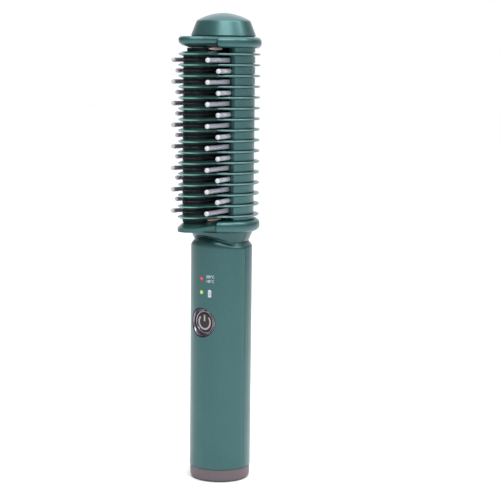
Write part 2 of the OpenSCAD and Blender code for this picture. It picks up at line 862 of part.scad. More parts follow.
// Nickel strips from the two ends of the cell to the rear of the main board
module battery_tabs() {
    y_board = tab_gap + board_t - board_front;
    z_nub = z_cell + cell_l + nub_h + tab_gap;
    z_end = z_cell - tab_gap - tab_t;
    color("#B8B09A") {
        translate([-tab_w / 2, y_board, z_nub]) cube([tab_w, cell_back - y_board, tab_t]);
        translate([-tab_w / 2, y_board, z_nub]) cube([tab_w, tab_t, tab_up]);
        translate([-tab_w / 2, y_board, z_end]) cube([tab_w, cell_back - y_board, tab_t]);
        translate([-tab_w / 2, y_board, z_end]) cube([tab_w, tab_t, z_board + tab_overlap - z_end]);
    }
}

// Small board that carries the charging port, slid between the end cap's rails
module charge_board() {
    color(board_green) translate([-charge_board_w / 2, charge_board_back, cap_floor + fit_gap])
        cube([charge_board_w, charge_board_t, charge_board_l]);
}

module charge_port_shell() {
    color(steel) translate([0, port_back, port_inset]) difference() {
        linear_extrude(port_l) stadium(port_w, port_t);
        translate([0, 0, -1]) linear_extrude(port_l + 2)
            stadium(port_w - 2 * port_wall, port_t - 2 * port_wall);
    }
}

module charge_port_tongue() {
    color("#1A1A1C") translate([0, port_back, port_inset]) {
        translate([-3.3, -0.35, 0.6]) cube([6.6, 0.7, port_l - 1.5]);
        translate([0, 0, port_l - 1.4]) linear_extrude(1.4)
            stadium(port_w - 2 * port_wall - 0.1, port_t - 2 * port_wall - 0.1);
    }
}

// End cap with a rounded edge, a skirt inside the handle, the port's slot and the board's rails
module end_cap() {
    skirt_r = bore_r - fit_gap;
    rail_x = charge_board_w / 2 + fit_gap;
    color(cap_bronze) difference() {
        union() {
            difference() {
                union() {
                    rotate_extrude() polygon(concat([[0, 0]],
                        arc(cap_r - cap_fillet, cap_fillet, cap_fillet, -90, 0, 10),
                        [[cap_r, cap_h], [0, cap_h]]));
                    translate([0, 0, cap_floor]) cylinder(r = skirt_r, h = cap_h + cap_skirt_h - cap_floor);
                }
                translate([0, 0, cap_floor]) cylinder(r = skirt_r - cap_skirt_t, h = big);
                for (s = [-1, 1]) translate([0, s * cap_screw, cap_h])
                    cylinder(d = boss_d + 0.6, h = big);
                for (s = [-1, 1]) translate([-1.5, s > 0 ? cap_screw : -cap_screw - boss_d, cap_h])
                    cube([3, boss_d, big]);
            }
            for (s = [-1, 1]) translate([0, s * cap_screw, 1]) cylinder(d = boss_d, h = z_grip - 1);
            for (s = [-1, 1])
                translate([s > 0 ? rail_x - 0.8 : -rail_x - rail_t,
                    charge_board_back - fit_gap - 0.8, cap_floor - 0.1])
                    cube([rail_t + 0.8, charge_board_t + 2 * fit_gap + 1.6, rail_h]);
        }
        translate([-rail_x, charge_board_back - fit_gap, cap_floor])
            cube([2 * rail_x, charge_board_t + 2 * fit_gap, big]);
        translate([0, port_back, -1]) linear_extrude(cap_floor + 2)
            stadium(port_w + 2 * port_slot_gap, port_t + 2 * port_slot_gap);
        for (s = [-1, 1]) translate([0, s * cap_screw, 0]) {
            translate([0, 0, -1]) screw_hole(cap_h + 3);
            screw_recess(cap_head_depth);
        }
    }
}

module cap_screws() {
    color(steel) for (s = [-1, 1]) translate([0, s * cap_screw, cap_head_depth]) screw(cap_screw_l);
}

// Thin dark gasket in the seam over the end cap
module seam_gasket() {
    color("#1B1C1E") translate([0, 0, cap_h]) difference() {
        cylinder(r = cap_r - 0.2, h = gasket_t);
        translate([0, 0, -1]) cylinder(r = bore_r + 0.1, h = gasket_t + 2);
    }
}

rear_shell();
front_shell();
heat_comb();
head_plate_top();
head_plate_bottom();
dome_cap();
pin_carriers();
pins_long();
pins_short();
pin_tips_long();
pin_tips_short();
heater_plate();
heater_insulators();
heater_clamp();
clamp_screws();
thermistor();
thermal_fuse();
heater_leads();
comb_screws();
power_button();
power_symbol();
switch_plunger();
button_bezel();
switch_body();
main_board();
board_screws();
control_chip();
power_transistors();
inductor();
indicator_leds();
heat_light_lens();
charge_light_lens();
battery_cell();
battery_cradle();
battery_tabs();
charge_board();
charge_port_shell();
charge_port_tongue();
end_cap();
cap_screws();
seam_gasket();
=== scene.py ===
# Looks of a cordless hair straightening brush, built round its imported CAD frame.
# Shapes are worked out in millimetres and brought to metres when a piece is finished.
import math

import bmesh
import bpy
from mathutils import Matrix, Vector


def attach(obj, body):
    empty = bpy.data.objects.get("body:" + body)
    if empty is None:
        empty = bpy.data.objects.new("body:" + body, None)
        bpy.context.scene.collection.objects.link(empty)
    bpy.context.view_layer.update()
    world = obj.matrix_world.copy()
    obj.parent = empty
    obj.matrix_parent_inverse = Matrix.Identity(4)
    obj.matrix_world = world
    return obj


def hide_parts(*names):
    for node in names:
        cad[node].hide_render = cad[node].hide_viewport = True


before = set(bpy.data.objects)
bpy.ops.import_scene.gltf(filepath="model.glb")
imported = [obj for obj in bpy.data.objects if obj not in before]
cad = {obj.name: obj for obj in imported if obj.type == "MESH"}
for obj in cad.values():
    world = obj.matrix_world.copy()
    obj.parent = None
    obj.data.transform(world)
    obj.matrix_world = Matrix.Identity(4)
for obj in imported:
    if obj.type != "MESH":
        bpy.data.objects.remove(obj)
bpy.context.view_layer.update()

MM = 0.001

# Handle, neck and head
HANDLE_R = 17.5
SHELL_WALL = 1.8
BORE_R = HANDLE_R - SHELL_WALL
NECK_BORE_R = 13.2
FLANGE_R = 21.5
BACK_R = 18.0
RIB_R = 20.9
RIB_T = 1.3
SEAM_X = 11.0
SEAM_Y = -17.77
Z_CAP = 7.3
Z_NECK_BORE = 132.6
Z_SCOOP = 133.2
Z_SHOULDER = 134.4
Z_LO, Z_HEAD = 143.8, 150.8
Z_HI, Z_TOP = 246.5, 252.7
Z_DOME, Z_CROWN = 253.0, 266.0

# Neck: its height, the groove's bottom over the shoulder, the groove's depth, the flare out to the
# flange, and how much deeper the scoop is in the middle of the front
NECK_H = Z_LO - Z_SHOULDER
GROOVE_RISE, GROOVE, FLARE, SCOOP = 3.8, 2.0, 0.4, 3.1

# Comb: fins, the ridge and the block between them, and the bare pads at the block's ends
FIN_COUNT = 16
FIN_PITCH = 6.0
Z_FIN = 153.1
NOSE_Y, NOSE_START = -34.3, -25.0
NOSE_HALF_W = 8.3
RIDGE_HALF_W, RIDGE_Y = 5.4, -26.0
CORE_HALF_W, CORE_FRONT, CORE_BACK = 6.8, -12.5, 9.0
SLOT_HALF_W, SLOT_FRONT = 1.25, -7.0
Z_CORE, Z_SLOT_TOP, Z_CORE_TOP = 150.4, 240.4, 246.4
Z_RIDGE_TOP = 243.1
PAD_HALF_W, PAD_HALF_D = 1.5, 5.8
PAD_X, PAD_Y = 6.3, -14.3

# Back edge of the comb-shaped plates in the flanges
PLATE_BACK = -9.1

# Pins: their roots lie beside the comb's block, a little under the middle of each gap. Each row
# gives the root's distance from the middle plane, the splay in degrees, the reach with the tip, and
# whether its gaps are odd (1) or even (0).
PIN_D, TIP_D, TIP_L = 2.5, 2.7, 1.9
PIN_ROOT_Y, PIN_SINK, PIN_DROP = -3.2, 1.7, 0.3
PIN_ROWS = {"long": (8.5, 8.7, 26.6, 1), "short": (10.3, 13.3, 20.6, 0)}

# Button and lights
Z_BUTTON = 92.1
Z_RED, Z_GREEN = 117.4, 109.6


# Finishes

# Nearly all values of a noise pattern lie between these
NOISE_LOW, NOISE_HIGH = 0.3, 0.7


def rgb(hex_code, strength=1.0):
    """An sRGB hex colour as Blender's linear values."""
    parts = [int(hex_code[i:i + 2], 16) / 255 for i in (1, 3, 5)]
    linear = [c / 12.92 if c <= 0.04045 else ((c + 0.055) / 1.055) ** 2.4 for c in parts]
    return tuple(c * strength for c in linear) + (1.0,)


def add(tree, kind, inputs=None, **settings):
    """Adds a node; an input takes a value, another node's output, or a node for its first output."""
    made = tree.nodes.new(kind)
    for key, value in settings.items():
        setattr(made, key, value)
    for key, value in (inputs or {}).items():
        if isinstance(value, bpy.types.Node):
            value = value.outputs[0]
        if isinstance(value, bpy.types.NodeSocket):
            tree.links.new(value, made.inputs[key])
        else:
            made.inputs[key].default_value = value
    return made


def finish(name, **sockets):
    """A material whose shader has the values that are the same all over, and its object coordinates."""
    material = bpy.data.materials.new(name)
    material.use_nodes = True
    tree = material.node_tree
    shader = tree.nodes["Principled BSDF"]
    for key, value in sockets.items():
        shader.inputs[key.replace("_", " ")].default_value = value
    place = add(tree, "ShaderNodeTexCoord").outputs["Object"]
    return material, tree, shader, place


def per_mm(size_mm):
    """Texture scale that repeats once in this many millimetres."""
    return 1.0 / (size_mm * MM)


def tint(tree, shader, by, a, b, low=NOISE_LOW, high=NOISE_HIGH):
    """Base colour that runs from one hex colour to another as a pattern goes from low to high."""
    ramp = add(tree, "ShaderNodeMapRange", {"Value": by, "From Min": low, "From Max": high})
    mix = add(tree, "ShaderNodeMix", {"Factor": ramp, "A": rgb(a), "B": rgb(b)}, data_type="RGBA")
    tree.links.new(mix.outputs["Result"], shader.inputs["Base Color"])
    return mix.outputs["Result"]


def vary_roughness(tree, shader, by, smooth, rough):
    """Lets a pattern move the roughness between two limits."""
    ramp = add(tree, "ShaderNodeMapRange", {"Value": by, "From Min": NOISE_LOW, "From Max": NOISE_HIGH,
                                            "To Min": smooth, "To Max": rough})
    tree.links.new(ramp.outputs["Result"], shader.inputs["Roughness"])


def emboss(tree, shader, height, depth_mm):
    """Turns a pattern into relief of a real depth."""
    bump = add(tree, "ShaderNodeBump", {"Height": height, "Distance": depth_mm * MM, "Strength": 1.0})
    tree.links.new(bump.outputs["Normal"], shader.inputs["Normal"])


def shell_paint(name, a, b):
    # Satin metallic paint on moulded ABS: a soft teal with fine aluminium flake and a faint orange
    # peel. Flakes are 0.05 mm; they are drawn 0.4 mm wide, as fine as the picture can show. The base
    # colour is darkened in the neck's groove, and most of all under the scoop's brow: painted shade
    # for the shadow that the flange and the brow cast there.
    material, tree, shader, place = finish(name, Metallic=0.72, Roughness=0.4,
                                           Coat_Weight=0.36, Coat_Roughness=0.28)
    flake = add(tree, "ShaderNodeTexVoronoi", {"Vector": place, "Scale": per_mm(0.4)})
    coat = tint(tree, shader, flake.outputs["Color"], a, b, 0.0, 1.0)
    height = add(tree, "ShaderNodeSeparateXYZ", {"Vector": place}).outputs["Z"]
    flat = add(tree, "ShaderNodeMapping", {"Vector": place, "Scale": (1, 1, 0)})
    radius = add(tree, "ShaderNodeVectorMath", {0: flat}, operation="LENGTH").outputs["Value"]
    # Painted shade: where these ramps meet, the base colour is multiplied darker, in the groove and under
    # the brow
    below_flange = (height, Z_LO + 1.2, Z_LO + 0.4)
    groove = ((height, Z_SHOULDER, Z_SHOULDER + 1.6), below_flange)
    brow = ((height, Z_SHOULDER + 3.0, Z_SHOULDER + 5.2), (radius, 15.4, 14.2), below_flange)
    for limits, shade in ((groove, (0.6, 0.64, 0.64, 1)), (brow, (0.74, 0.78, 0.78, 1))):
        share = 1.0
        for measure, start, end in limits:
            ramp = add(tree, "ShaderNodeMapRange", {"Value": measure, "From Min": start * MM,
                                                    "From Max": end * MM})
            share = add(tree, "ShaderNodeMath", {0: ramp, 1: share}, operation="MULTIPLY")
        coat = add(tree, "ShaderNodeMix", {"Factor": share, "A": coat, "B": shade},
                   data_type="RGBA", blend_type="MULTIPLY").outputs["Result"]
    tree.links.new(coat, shader.inputs["Base Color"])
    cloud = add(tree, "ShaderNodeTexNoise", {"Vector": place, "Scale": per_mm(14), "Detail": 3})
    vary_roughness(tree, shader, cloud, 0.37, 0.43)
    peel = add(tree, "ShaderNodeTexNoise", {"Vector": place, "Scale": per_mm(2.0), "Detail": 1})
    emboss(tree, shader, peel, 0.004)
    return material


def rib_edge_paint():
    # The same paint, paler on the upper side of the ribs' outer edge: a painted highlight, so that each
    # rib has a pale line.
    material, tree, shader, place = finish("rib_edge_painted_highlight", Metallic=0.6, Roughness=0.34,
                                           Coat_Weight=0.25, Coat_Roughness=0.2)
    patchy_sheen = add(tree, "ShaderNodeTexNoise", {"Vector": place, "Scale": per_mm(1.5), "Detail": 3})
    tint(tree, shader, patchy_sheen, "#658B88", "#759C99")
    return material


def fin_coat():
    # Glossy dark green enamel baked onto a die-cast aluminium comb: deep colour, clear reflections
    # with a slight ripple from the coat's flow, 1.5 mm wide.
    material, tree, shader, place = finish("dark_green_enamel", Metallic=0.3, Roughness=0.3,
                                           Coat_Weight=0.3, Coat_Roughness=0.12)
    cloud = add(tree, "ShaderNodeTexNoise", {"Vector": place, "Scale": per_mm(5), "Detail": 3})
    tint(tree, shader, cloud, "#244541", "#2C4F49")
    ripple = add(tree, "ShaderNodeTexNoise", {"Vector": place, "Scale": per_mm(1.5)})
    emboss(tree, shader, ripple, 0.006)
    return material


def fin_edge_coat():
    # The same enamel, paler on each fin's blunt edge and palest at the nose: a painted highlight,
    # so that the edge draws a light line there.
    material, tree, shader, place = finish("fin_edge_painted_highlight", Metallic=0.5, Roughness=0.3,
                                           Coat_Weight=0.3, Coat_Roughness=0.12)
    along = add(tree, "ShaderNodeSeparateXYZ", {"Vector": place}).outputs["Y"]
    nose = add(tree, "ShaderNodeMapRange", {"Value": along, "From Min": (NOSE_Y + 5.8) * MM,
                                            "From Max": (NOSE_Y + 0.8) * MM})
    cloud = add(tree, "ShaderNodeTexNoise", {"Vector": place, "Scale": per_mm(2.5), "Detail": 3})
    pattern_and_painted_light = add(tree, "ShaderNodeMath", {0: cloud, 1: 0.25, 2: nose}, operation="MULTIPLY_ADD")
    tint(tree, shader, pattern_and_painted_light, "#3F635D", "#84BAB1", 0.1, 1.15)
    ripple = add(tree, "ShaderNodeTexNoise", {"Vector": place, "Scale": per_mm(1.5)})
    emboss(tree, shader, ripple, 0.006)
    return material


def core_enamel():
    # Black heat-proof enamel on the comb's block, between the fins: a low sheen with a cast ripple.
    material, tree, shader, place = finish("black_enamel", Roughness=0.5, Specular_IOR_Level=0.12)
    cloud = add(tree, "ShaderNodeTexNoise", {"Vector": place, "Scale": per_mm(3)})
    tint(tree, shader, cloud, "#111517", "#181D20")
    ripple = add(tree, "ShaderNodeTexNoise", {"Vector": place, "Scale": per_mm(1.2)})
    emboss(tree, shader, ripple, 0.03)
    return material


def core_crest():
    # Bronze-brown metal on the swell along the middle of every gap: the swell catches real light, and
    # its pale patches add a painted highlight along the crest.
    material, tree, shader, place = finish("casting_line_and_painted_highlight", Metallic=0.8, Roughness=0.25)
    patchy_sheen = add(tree, "ShaderNodeTexNoise", {"Vector": place, "Scale": per_mm(2.2), "Detail": 3})
    tint(tree, shader, patchy_sheen, "#121212", "#645850", 0.35, 0.6)
    ripple = add(tree, "ShaderNodeTexNoise", {"Vector": place, "Scale": per_mm(0.9)})
    emboss(tree, shader, ripple, 0.03)
    return material


def ground_pad():
    # Pads at the ends of the block, ground bare: pale warm metal with a fine grinding haze. A faint
    # glow stands for the light that bounces into the gap.
    material, tree, shader, place = finish("ground_bare_metal", Metallic=0.3, Roughness=0.4,
                                           Emission_Color=rgb("#C9B5AE"), Emission_Strength=0.15)
    haze = add(tree, "ShaderNodeTexNoise", {"Vector": place, "Scale": per_mm(1.0), "Detail": 3})
    tint(tree, shader, haze, "#D2C2BA", "#E8DAD3")
    vary_roughness(tree, shader, haze, 0.3, 0.42)
    return material


def cap_plastic():
    # Brownish grey ABS with a fine spark-eroded texture (0.1 mm grit, drawn 0.3 mm).
    material, tree, shader, place = finish("eroded_abs", Roughness=0.46)
    cloud = add(tree, "ShaderNodeTexNoise", {"Vector": place, "Scale": per_mm(0.6), "Detail": 3})
    tint(tree, shader, cloud, "#5F5459", "#685D62")
    grit = add(tree, "ShaderNodeTexNoise", {"Vector": place, "Scale": per_mm(0.3)})
    emboss(tree, shader, grit, 0.01)
    return material


def bezel_paint():
    # Satin purple-grey metallic paint on a turned ring; the ring's turning marks, 0.1 mm apart in
    # truth, are drawn 0.35 mm apart. The wave pattern has 20 rings to a unit of its scale.
    material, tree, shader, place = finish("satin_ring_paint", Metallic=0.9, Roughness=0.24)
    centred = add(tree, "ShaderNodeMapping", {"Vector": place, "Location": (0, 0, -Z_BUTTON * MM)})
    rings = add(tree, "ShaderNodeTexWave", {"Vector": centred, "Scale": per_mm(0.35) / 20,
                                            "Distortion": 0.3}, wave_type="RINGS", rings_direction="Y")
    cloud = add(tree, "ShaderNodeTexNoise", {"Vector": place, "Scale": per_mm(0.5)})
    tint(tree, shader, cloud, "#807985", "#8C8591")
    emboss(tree, shader, rings.outputs["Fac"], 0.004)
    return material


def button_plastic():
    # Brown satin ABS with a fine matt texture, smoother than the cap.
    material, tree, shader, place = finish("satin_brown_abs", Roughness=0.45, Specular_IOR_Level=0.3)
    cloud = add(tree, "ShaderNodeTexNoise", {"Vector": place, "Scale": per_mm(0.7)})
    tint(tree, shader, cloud, "#2F2628", "#362C2E")
    grit = add(tree, "ShaderNodeTexNoise", {"Vector": place, "Scale": per_mm(0.25)})
    emboss(tree, shader, grit, 0.006)
    return material


def symbol_ink():
    # Light grey pad-printed ink, slightly raised and unevenly laid.
    material, tree, shader, place = finish("pad_print_ink", Roughness=0.5)
    cover = add(tree, "ShaderNodeTexNoise", {"Vector": place, "Scale": per_mm(0.4), "Detail": 3})
    tint(tree, shader, cover, "#9C9795", "#B2AEAC", 0.25, 0.75)
    film = add(tree, "ShaderNodeTexNoise", {"Vector": place, "Scale": per_mm(0.3)})
    emboss(tree, shader, film, 0.008)
    return material


def carrier_plastic():
    # Dark green glass-filled moulding: dull, with short glass fibres that show as a fine mottle.
    material, tree, shader, place = finish("glass_filled_pps", Roughness=0.5)
    fibre = add(tree, "ShaderNodeTexNoise", {"Vector": place, "Scale": per_mm(0.5), "Detail": 4,
                                             "Roughness": 0.7})
    tint(tree, shader, fibre, "#1E3935", "#274641")
    skin = add(tree, "ShaderNodeTexNoise", {"Vector": place, "Scale": per_mm(0.4), "Detail": 3})
    emboss(tree, shader, skin, 0.01)
    return material


def pin_metal():
    # Polished aluminium rod: a slight haze from drawing, in streaks. It is darker towards the tip and
    # paler towards the root: painted light, against the shade deep between the fins.
    # Deep between the fins a faint glow stands for the light that bounces from fin to fin.
    material, tree, shader, place = finish("polished_aluminium", Metallic=0.5, Roughness=0.3,
                                           Emission_Color=rgb("#A8ACB8"))
    streaks = add(tree, "ShaderNodeMapping", {"Vector": place, "Scale": (1, 0.05, 1)})
    lines = add(tree, "ShaderNodeTexNoise", {"Vector": streaks, "Scale": per_mm(0.35)})
    along = add(tree, "ShaderNodeSeparateXYZ", {"Vector": place}).outputs["Y"]

    def fade(start, end):
        """Share that grows from 0 to 1 between two places along the pin, in mm."""
        return add(tree, "ShaderNodeMapRange", {"Value": along, "From Min": start * MM,
                                                "From Max": end * MM})

    # Painted light: paler from the tip towards the root, with streaks
    pattern_and_painted_light = add(tree, "ShaderNodeMath", {0: lines, 1: 0.25, 2: fade(-29, -9)}, operation="MULTIPLY_ADD")
    tint(tree, shader, pattern_and_painted_light, "#9A99A6", "#E2E2E9", 0.1, 1.15)
    vary_roughness(tree, shader, lines, 0.26, 0.36)
    glow = add(tree, "ShaderNodeMath", {0: fade(-19, -13), 1: fade(-3, -9)}, operation="MULTIPLY")
    glow = add(tree, "ShaderNodeMath", {0: glow, 1: 0.4}, operation="MULTIPLY")
    tree.links.new(glow.outputs["Value"], shader.inputs["Emission Strength"])
    return material


def tip_nylon():
    # White nylon ball tip: a little light goes into it, with a faint cloudiness.
    material, tree, shader, place = finish("white_nylon", Roughness=0.3, Subsurface_Weight=0.3,
                                           Subsurface_Scale=0.002)
    cloud = add(tree, "ShaderNodeTexNoise", {"Vector": place, "Scale": per_mm(1.2), "Detail": 3})
    tint(tree, shader, cloud, "#BCBCC3", "#CBCBD1")
    skin = add(tree, "ShaderNodeTexNoise", {"Vector": place, "Scale": per_mm(0.5)})
    emboss(tree, shader, skin, 0.004)
    return material


def lens_resin(name, level, rim, core):
    # Lit light pipe of clear acrylic: brightest in its middle, where the LED stands behind it, and
    # dark at the rim; the face is glossy and slightly wavy.
    material, tree, shader, place = finish(name, Roughness=0.15, Coat_Weight=0.4,
                                           Coat_Roughness=0.08, Emission_Strength=0.3)
    bright_r, dark_r = 0.5 * MM, 1.3 * MM
    centred = add(tree, "ShaderNodeMapping", {"Vector": place, "Location": (0, 0, -level * MM),
                                              "Scale": (1, 0, 1)})
    radius = add(tree, "ShaderNodeVectorMath", {0: centred}, operation="LENGTH").outputs["Value"]
    tint(tree, shader, radius, core, rim, bright_r, dark_r)
    outward = add(tree, "ShaderNodeMapRange", {"Value": radius, "From Min": bright_r, "From Max": dark_r})
    glow = add(tree, "ShaderNodeMix", {"Factor": outward, "A": rgb(core), "B": rgb(rim, 0.5)},
               data_type="RGBA")
    tree.links.new(glow.outputs["Result"], shader.inputs["Emission Color"])
    wave = add(tree, "ShaderNodeTexNoise", {"Vector": place, "Scale": per_mm(0.8)})
    emboss(tree, shader, wave, 0.01)
    return material


def mark_ink(name, a, b):
    # Pad-printed marks: thin ink that lets a little of the paint through.
    material, tree, shader, place = finish(name, Roughness=0.5)
    cover = add(tree, "ShaderNodeTexNoise", {"Vector": place, "Scale": per_mm(0.35), "Detail": 3})
    tint(tree, shader, cover, a, b, 0.25, 0.75)
    return material


def rubber():
    # Black moulded rubber: dull, with a soft bloom.
    material, tree, shader, place = finish("moulded_rubber", Roughness=0.7)
    bloom = add(tree, "ShaderNodeTexNoise", {"Vector": place, "Scale": per_mm(1.0), "Detail": 3})
    tint(tree, shader, bloom, "#151617", "#202224")
    skin = add(tree, "ShaderNodeTexNoise", {"Vector": place, "Scale": per_mm(0.4)})
    emboss(tree, shader, skin, 0.01)
    return material


def zinc_steel():
    # Bright zinc-plated steel: a bluish metal with fine cloudy spangle.
    material, tree, shader, place = finish("zinc_plated_steel", Metallic=1.0, Roughness=0.3)
    spangle = add(tree, "ShaderNodeTexNoise", {"Vector": place, "Scale": per_mm(0.8), "Detail": 3})
    tint(tree, shader, spangle, "#AEB2B8", "#C6C9CD")
    vary_roughness(tree, shader, spangle, 0.24, 0.38)
    return material


def speckled(name, a, b, size_mm, roughness, **sockets):
    # A plain moulded, glazed or coated part of the inside: two near colours in a grain with relief.
    material, tree, shader, place = finish(name, Roughness=roughness, **sockets)
    grain = add(tree, "ShaderNodeTexNoise", {"Vector": place, "Scale": per_mm(size_mm), "Detail": 3})
    tint(tree, shader, grain, a, b)
    emboss(tree, shader, grain, 0.01)
    return material


# On the wall between the ribs the paint is paler, for the light that bounces from rib to rib
PAINT = shell_paint("satin_metallic_paint", "#335C5C", "#3B6464")
WALL_PAINT = shell_paint("satin_metallic_paint_lit_wall", "#4A7575", "#527D7D")
RIB_EDGE = rib_edge_paint()
FIN = fin_coat()
FIN_EDGE = fin_edge_coat()
CORE = core_enamel()
CREST = core_crest()
PAD = ground_pad()
CAP = cap_plastic()
BEZEL = bezel_paint()
BUTTON = button_plastic()
SYMBOL = symbol_ink()
CARRIER = carrier_plastic()
PIN = pin_metal()
TIP = tip_nylon()
RED = lens_resin("red_light_pipe", Z_RED, "#6E2229", "#C8343F")
GREEN = lens_resin("green_light_pipe", Z_GREEN, "#5E7A3F", "#A9C765")
INK = mark_ink("white_print", "#C4CCD2", "#DDE3E8")
GREY_INK = mark_ink("grey_print", "#A9A8B6", "#BDBCC8")
RUBBER = rubber()
STEEL = zinc_steel()


# Shapes

def piece(bm, name, material, replaces=(), body="brush", sharp=30, scale=MM):
    """Closes a bmesh into a shaded piece of the object that rides on a body."""
    bmesh.ops.scale(bm, vec=(scale,) * 3, verts=bm.verts)
    limit = math.radians(sharp)
    for face in bm.faces:
        face.smooth = True
    for edge in bm.edges:
        edge.smooth = len(edge.link_faces) == 2 and edge.calc_face_angle(0.0) < limit
    mesh = bpy.data.meshes.new(name)
    bm.to_mesh(mesh)
    bm.free()
    mesh.materials.append(material)
    made = bpy.data.objects.new(name, mesh)
    bpy.context.scene.collection.objects.link(made)
    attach(made, body)
    if replaces:
        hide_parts(*replaces)
    return made


def smooth_copy(node, material, body="brush", sharp=30):
    """A CAD node's own shape, its loose triangles merged so that its round faces shade smoothly."""
    bm = bmesh.new()
    bm.from_mesh(cad[node].data)
    bmesh.ops.remove_doubles(bm, verts=bm.verts, dist=0.002 * MM)
    return piece(bm, node + "_finished", material, [node], body, sharp, scale=1.0)


def join(bm, part):
    """Adds a finished part to a piece made of several."""
    mesh = bpy.data.meshes.new("part")
    part.to_mesh(mesh)
    part.free()
    bm.from_mesh(mesh)
    bpy.data.meshes.remove(mesh)


def polyline(bm, points, corners=None):
    """Edges through (radius, height) points in the XZ plane, with some corners rounded by a radius."""
    verts = [bm.verts.new((r, 0, z)) for r, z in points]
    for a, b in zip(verts, verts[1:]):
        bm.edges.new((a, b))
    for index, radius in (corners or {}).items():
        bmesh.ops.bevel(bm, geom=[verts[index]], offset=radius, segments=6, profile=0.5,
                        affect="VERTICES", material=-1)
    return bm


def spin_round(bm, steps=96, degrees=360.0):
    """Spins everything in the bmesh round Z and closes it where it touches the axis."""
    full = degrees > 359.9
    bmesh.ops.spin(bm, geom=bm.verts[:] + bm.edges[:], cent=(0, 0, 0), axis=(0, 0, 1),
                   angle=math.radians(degrees), steps=steps, use_merge=full)
    bmesh.ops.remove_doubles(bm, verts=bm.verts, dist=0.001)
    bmesh.ops.recalc_face_normals(bm, faces=bm.faces)


def face_front(bm, z):
    """Lays a shape made round Z on the line that runs out through the front of the handle."""
    bmesh.ops.transform(bm, matrix=Matrix.Translation((0, 0, z)) @ Matrix.Rotation(math.pi / 2, 4, "X"),
                        verts=bm.verts)


def comb_face(bm, z, back):
    """The outline of a fin or a head plate as one face: elliptic nose, straight flanks, back corners."""
    ring = bmesh.ops.create_circle(bm, cap_ends=False, segments=96, radius=1.0)["verts"]
    bmesh.ops.scale(bm, vec=(NOSE_HALF_W, NOSE_START - NOSE_Y, 1), verts=ring)
    bmesh.ops.translate(bm, vec=(0, NOSE_START, z), verts=ring)
    behind = [v for v in ring if v.co.y > NOSE_START + 0.01]
    bmesh.ops.delete(bm, geom=behind, context="VERTS")
    ring = [v for v in ring if v.is_valid]
    left, right = sorted((v for v in ring if v.co.y > NOSE_START - 0.01), key=lambda v: v.co.x)
    corners = [(SEAM_X, SEAM_Y)] + back
    chain = [right] + [bm.verts.new((x, y, z)) for x, y in corners]
    chain += [bm.verts.new((-x, y, z)) for x, y in reversed(corners)] + [left]
    edges = [bm.edges.new(pair) for pair in zip(chain, chain[1:])]
    loop = set(edges)
    for v in ring:
        loop.update(v.link_edges)
    face = bmesh.ops.contextual_create(bm, geom=list(loop))["faces"][0]
    face.normal_update()
    if face.normal.z < 0:
        face.normal_flip()
    return face


def slab(bm, face, height):
    """Thickens a face upwards into a slab, and returns its lower and upper faces."""
    up = bmesh.ops.extrude_face_region(bm, geom=[face], use_keep_orig=True)["geom"]
    top = [g for g in up if isinstance(g, bmesh.types.BMFace)][0]
    bmesh.ops.translate(bm, vec=(0, 0, height), verts=top.verts)
    bmesh.ops.recalc_face_normals(bm, faces=bm.faces)
    return face, top


def raise_face(bm, face, height):
    """Extrudes a level face up to a height, and returns the raised face."""
    rise = height - face.verts[0].co.z
    up = bmesh.ops.extrude_face_region(bm, geom=[face])["geom"]
    face = [g for g in up if isinstance(g, bmesh.types.BMFace)][0]
    bmesh.ops.translate(bm, vec=(0, 0, rise), verts=face.verts)
    return face


def slope_in(bm, face, steps):
    """Draws a face in by steps of (width, rise), which leaves sloping bands round it."""
    for width, rise in steps:
        bmesh.ops.inset_region(bm, faces=[face], thickness=width, depth=rise, use_boundary=True,
                               use_even_offset=True)


def stack(bm, count, pitch):
    """Repeats everything in the bmesh upwards."""
    geom = bm.verts[:] + bm.edges[:] + bm.faces[:]
    for i in range(1, count):
        new = bmesh.ops.duplicate(bm, geom=geom)["geom"]
        bmesh.ops.translate(bm, vec=(0, 0, i * pitch),
                            verts=[g for g in new if isinstance(g, bmesh.types.BMVert)])


def over_fin(z):
    """Height of a place in metres over the middle of the nearest fin, in millimetres."""
    return (z / MM - Z_FIN + FIN_PITCH / 2) % FIN_PITCH - FIN_PITCH / 2


def neck_radius(rise):
    """Radius of the neck at a height over the shoulder: into the groove, then out to the flange."""
    if rise < GROOVE_RISE:
        return HANDLE_R - GROOVE * (1 - math.cos(math.pi * max(rise, 0.0) / GROOVE_RISE)) / 2
    return HANDLE_R - GROOVE + (GROOVE + FLARE) * (rise - GROOVE_RISE) / (NECK_H - GROOVE_RISE)


def scooped_radius(rise, facing):
    """Radius of the neck's front, which is scooped out under a brow that climbs towards the middle.

    facing is 1 at the very front and 0 at the sides.
    """
    brow = -0.9 + 7.0 * facing + 0.8 * facing ** 4
    above = min(1.0, max(0.0, (rise - brow) / 1.1 + 0.5))
    above = above * above * (3 - 2 * above)
    brow = max(brow, 0.4)
    deep = HANDLE_R - neck_radius(brow) + SCOOP * facing ** 4
    scooped = HANDLE_R - deep * min(rise / brow, 1.2) ** (1.4 + 2.0 * facing)
    return neck_radius(rise) * above + scooped * (1 - above)


def cut_away(bm, co, normal):
    """Cuts the bmesh on a plane, drops what lies on the side of the normal and closes the cut."""
    cut = bmesh.ops.bisect_plane(bm, geom=bm.verts[:] + bm.edges[:] + bm.faces[:], plane_co=co,
                                 plane_no=normal, clear_outer=True)["geom_cut"]
    bmesh.ops.edgenet_fill(bm, edges=[g for g in cut if isinstance(g, bmesh.types.BMEdge)])


